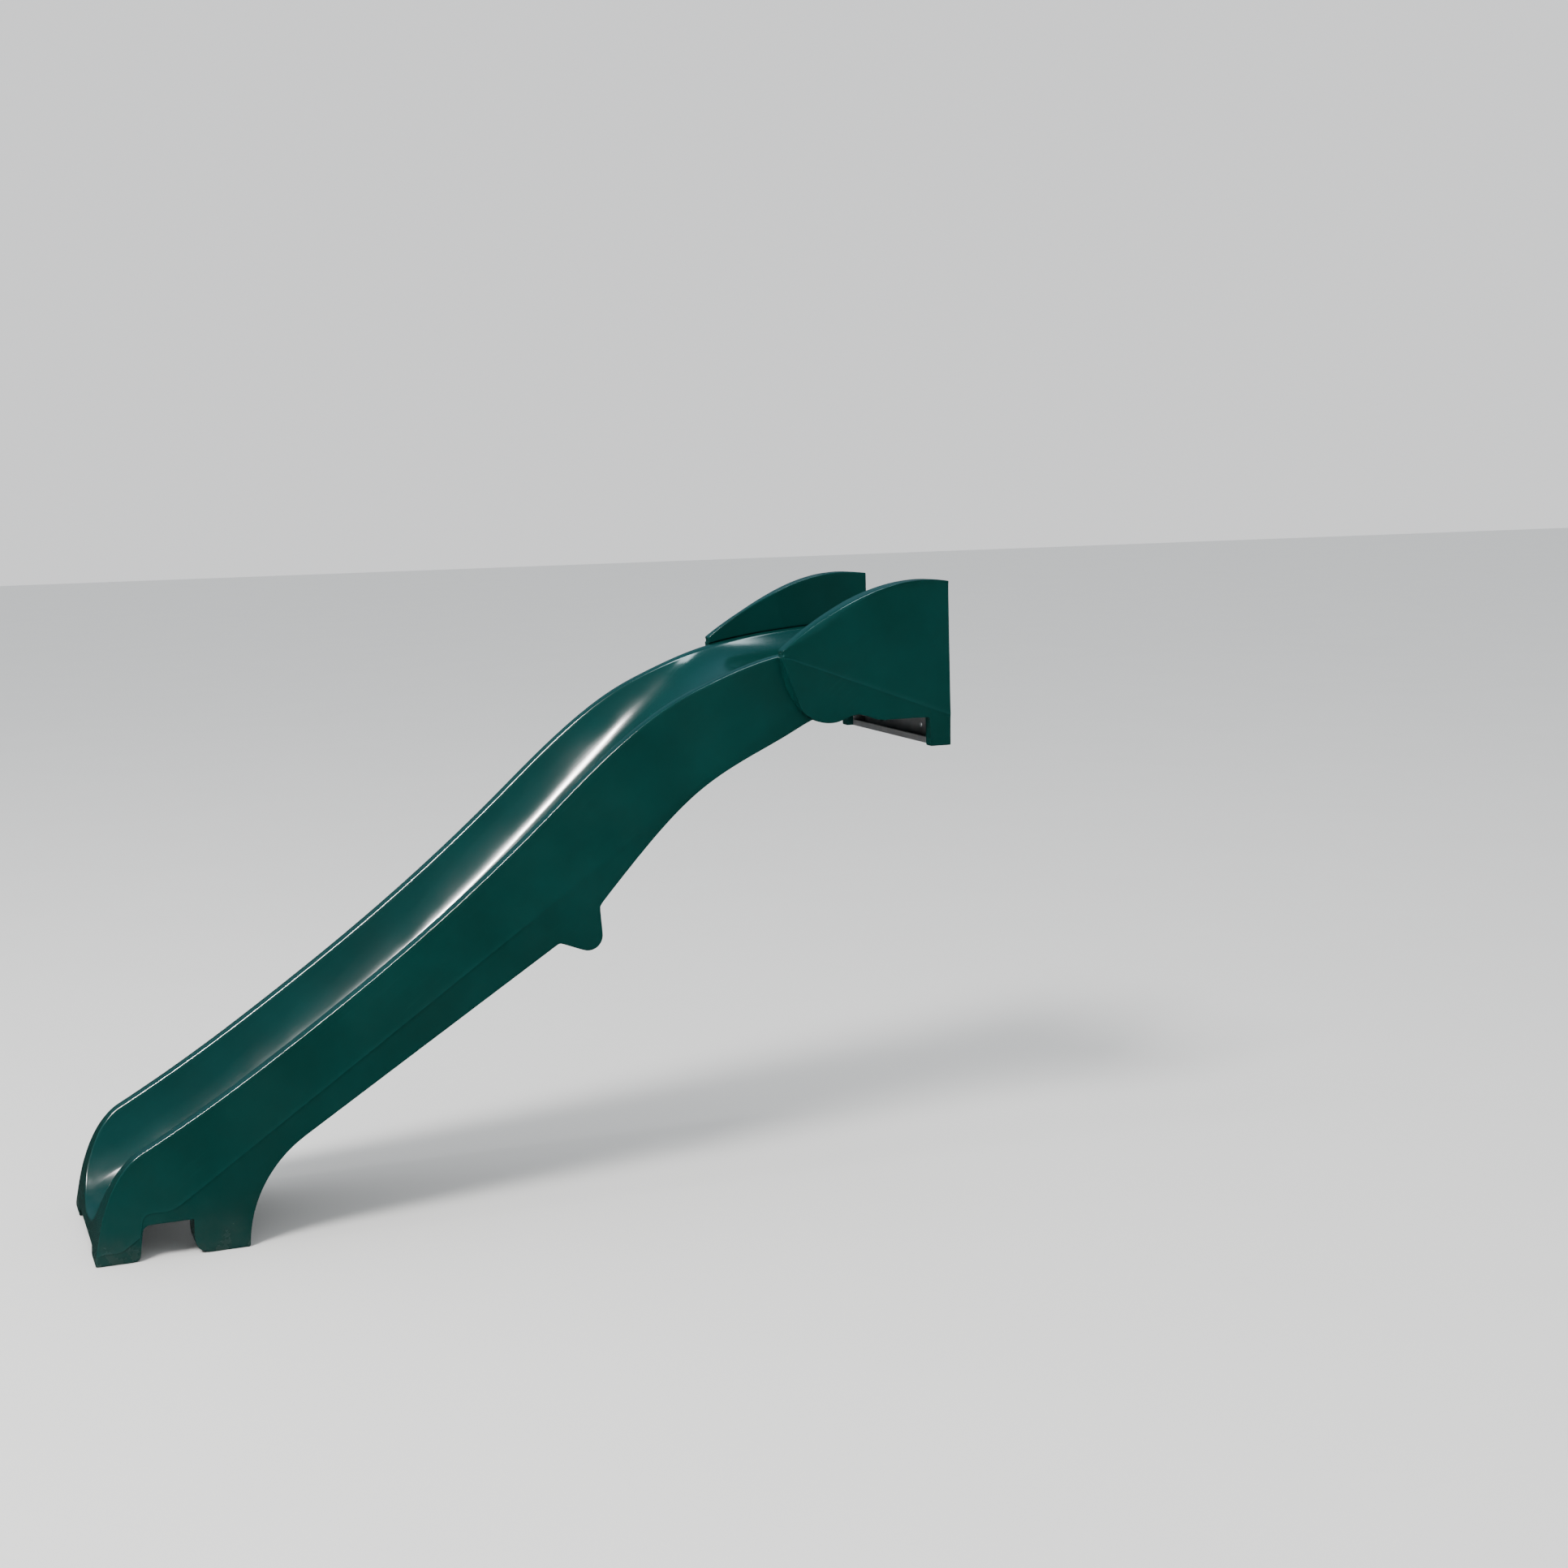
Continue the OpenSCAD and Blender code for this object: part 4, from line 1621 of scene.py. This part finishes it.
@dataclass(frozen=True)
class Fixings:
    """The bolts, washers, threaded inserts and vent plugs, which keep their own solids.

    Attributes:
        sets: What each set of bolts, washers and inserts holds.
        finish_of: The slot of each kind of piece in a set.
        plugs: The node of the vent plugs.
    """

    sets: tuple[str, ...] = ("seat", "guard", "tab")
    finish_of: tuple[tuple[str, Slot], ...] = (
        ("bolts", Slot.ZINC), ("washers", Slot.ZINC), ("inserts", Slot.BRASS))
    plugs: str = "vent_plugs"

    def dress(self, finishes: Finishes) -> list[bpy.types.Object]:
        """Gives each piece its finish.

        Args:
            finishes: The slide's finishes.

        Returns:
            The dressed pieces.
        """
        slots = {f"{place}_{kind}": slot for place in self.sets for kind, slot in self.finish_of}
        slots[self.plugs] = Slot.PLUG
        for name, slot in slots.items():
            finishes.dress(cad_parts[name], slot)
        return [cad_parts[name] for name in slots]


# --------------------------------------------------------------------------------------------- stage


@dataclass(frozen=True)
class Softbox:
    """A soft studio lamp.

    Attributes:
        name: Its name.
        spot: Where it hangs.
        target: Where it points.
        size: Its width and height.
        power: Its power in watts.
        tint: Its colour.
        lit: Whether it lights matt surfaces.
        mirrored: Whether gloss mirrors it.
    """

    name: str
    spot: Point
    target: Point
    size: Flat
    power: float
    tint: Point = (1.0, 1.0, 1.0)
    lit: bool = True
    mirrored: bool = True

    def hang(self) -> None:
        """Adds the lamp to the scene."""
        lamp = bpy.data.lights.new(self.name, "AREA")
        lamp.shape = "RECTANGLE"
        lamp.size, lamp.size_y = self.size
        lamp.energy = self.power
        lamp.color = self.tint
        holder = bpy.data.objects.new(self.name, lamp)
        holder.location = self.spot
        holder.visible_diffuse, holder.visible_glossy = self.lit, self.mirrored
        aim = Vector(self.target) - Vector(self.spot)
        holder.rotation_euler = aim.to_track_quat("-Z", "Y").to_euler()
        bpy.context.scene.collection.objects.link(holder)


@dataclass
class Studio:
    """The floor, the lamps and the room's own light.

    Attributes:
        floor_size: Width of the floor.
        horizon: Colour behind the slide.
        fill: Strength of the light from all round.
        fill_tint: Colour of that light.
        shine: Strength of the room as gloss mirrors it.
        room: Colours of that room, each with how far up it lies: 0 when level or lower, 1 overhead.
        lamps: The soft lamps.
    """

    floor_size: float = 60.0
    horizon: Point = (1.10, 1.11, 1.12)
    fill: float = 1.0
    fill_tint: Point = (0.97, 0.985, 1.0)
    shine: float = 0.42
    room: tuple[tuple[float, Point], ...] = (
        (0.0, (0.06, 0.07, 0.07)), (0.25, (0.25, 0.50, 0.62)), (1.0, (0.20, 0.68, 1.0)))
    lamps: tuple[Softbox, ...] = (
        Softbox("key", (-4.6, -3.8, 7.4), (0.0, 0.0, 0.6), (2.5, 2.5), 1050.0, (1.0, 0.98, 0.95),
                mirrored=False),
        Softbox("streak", (-10.5, -0.8, 15.2), (0.0, 0.0, 0.6), (0.9, 5.4), 9000.0, (1.0, 0.98, 0.96),
                lit=False),
        Softbox("overhead", (0.9, 2.2, 9.6), (0.5, 0.0, 0.9), (3.2, 2.0), 330.0, (0.75, 0.95, 1.0),
                lit=False),
    )

    def lay_floor(self) -> bpy.types.Object:
        """Makes the floor, just under the slide's feet.

        Returns:
            The floor.
        """
        half, steps, clearance = self.floor_size / 2, 24, 0.0002
        marks = [-half + self.floor_size * i / steps for i in range(steps + 1)]
        skin = Skin("studio_floor", 0.0)
        skin.sheet([[(x, y, 0.0) for y in marks] for x in marks])
        floor = skin.finish(0)
        floor.data.materials.append(FloorPaint().make())
        floor.location.z = -clearance
        floor.visible_glossy = False
        return floor

    def light(self) -> None:
        """Hangs the lamps and sets the world: one glow for matt, one for gloss, one to look at."""
        for lamp in self.lamps:
            lamp.hang()
        world = bpy.data.worlds.new("studio")
        world.use_nodes = True
        nodes, join = world.node_tree.nodes, world.node_tree.links.new
        around, room = nodes["Background"], nodes.new("ShaderNodeBackground")
        around.inputs["Color"].default_value = (*self.fill_tint, 1.0)
        around.inputs["Strength"].default_value = self.fill
        room.inputs["Strength"].default_value = self.shine
        place, split = nodes.new("ShaderNodeTexCoord"), nodes.new("ShaderNodeSeparateXYZ")
        ramp = nodes.new("ShaderNodeValToRGB")
        join(place.outputs["Generated"], split.inputs[0])
        join(split.outputs["Z"], ramp.inputs["Fac"])
        join(ramp.outputs["Color"], room.inputs["Color"])
        (low, level_glow), (middle, wall_glow), (high, roof_glow) = self.room
        stops = ramp.color_ramp.elements
        stops[0].position, stops[0].color = low, (*level_glow, 1.0)
        stops[1].position, stops[1].color = high, (*roof_glow, 1.0)
        stops.new(middle).color = (*wall_glow, 1.0)
        seen = nodes.new("ShaderNodeBackground")
        seen.inputs["Color"].default_value = (*self.horizon, 1.0)
        ray = nodes.new("ShaderNodeLightPath")
        mirrored, choice = nodes.new("ShaderNodeMixShader"), nodes.new("ShaderNodeMixShader")
        join(ray.outputs["Is Glossy Ray"], mirrored.inputs["Fac"])
        join(around.outputs[0], mirrored.inputs[1])
        join(room.outputs[0], mirrored.inputs[2])
        join(ray.outputs["Is Camera Ray"], choice.inputs["Fac"])
        join(mirrored.outputs[0], choice.inputs[1])
        join(seen.outputs[0], choice.inputs[2])
        join(choice.outputs[0], nodes["World Output"].inputs["Surface"])
        bpy.context.scene.world = world


@dataclass(frozen=True)
class Viewpoint:
    """The camera's stand and lens.

    Attributes:
        spot: Where it stands.
        ahead: The level direction that it faces.
        down: How far it tips down, in degrees.
        roll: How far it leans, in degrees.
        lens: Its focal length in millimetres.
        sensor: Width of its sensor in millimetres.
        shift: Its small shift across and up.
    """

    spot: Point = (-1.2469, -4.9278, 1.520)
    ahead: Flat = (0.35184, 0.93606)
    down: float = 7.35
    roll: float = 1.25
    lens: float = 55.9
    sensor: float = 36.0
    shift: Flat = (0.0031, -0.0083)

    def stand(self) -> None:
        """Adds the camera and makes it the scene's own."""
        camera = bpy.data.cameras.new("camera")
        camera.lens, camera.sensor_width = self.lens, self.sensor
        camera.shift_x, camera.shift_y = self.shift
        level = Vector((*self.ahead, 0.0)).normalized()
        tip, lean = math.radians(self.down), math.radians(self.roll)
        forward = level * math.cos(tip) - Vector((0, 0, 1)) * math.sin(tip)
        right = Vector((level.y, -level.x, 0.0))
        up = right.cross(forward)
        across = right * math.cos(lean) - up * math.sin(lean)
        above = right * math.sin(lean) + up * math.cos(lean)
        turn = Matrix((across, above, -forward)).transposed().to_4x4()
        holder = bpy.data.objects.new("camera", camera)
        holder.matrix_world = Matrix.Translation(self.spot) @ turn
        bpy.context.scene.collection.objects.link(holder)
        bpy.context.scene.camera = holder


# ---------------------------------------------------------------------------------------------- main


def report(piece: bpy.types.Object) -> None:
    """Logs a piece's name and how many points it has."""
    LOG.info("%s: %d points", piece.name, len(piece.data.vertices))


def main() -> None:
    """Builds every piece in order and dresses it."""
    logging.basicConfig(level=logging.INFO, format="%(name)s: %(message)s")
    Viewpoint().stand()
    finishes = Finishes()
    chute, guard, hanger = Chute(), Guard(), Hanger()
    bed = chute.build()
    chute.dress(bed, finishes)
    report(bed)
    for side in Side:
        wing = guard.build(side)
        guard.dress(wing, side, finishes)
        report(wing)
    for piece in [*hanger.dress(hanger.build_welds(), finishes), *Fixings().dress(finishes)]:
        report(piece)
    studio = Studio()
    studio.lay_floor()
    studio.light()


if __name__ == "__main__":
    main()
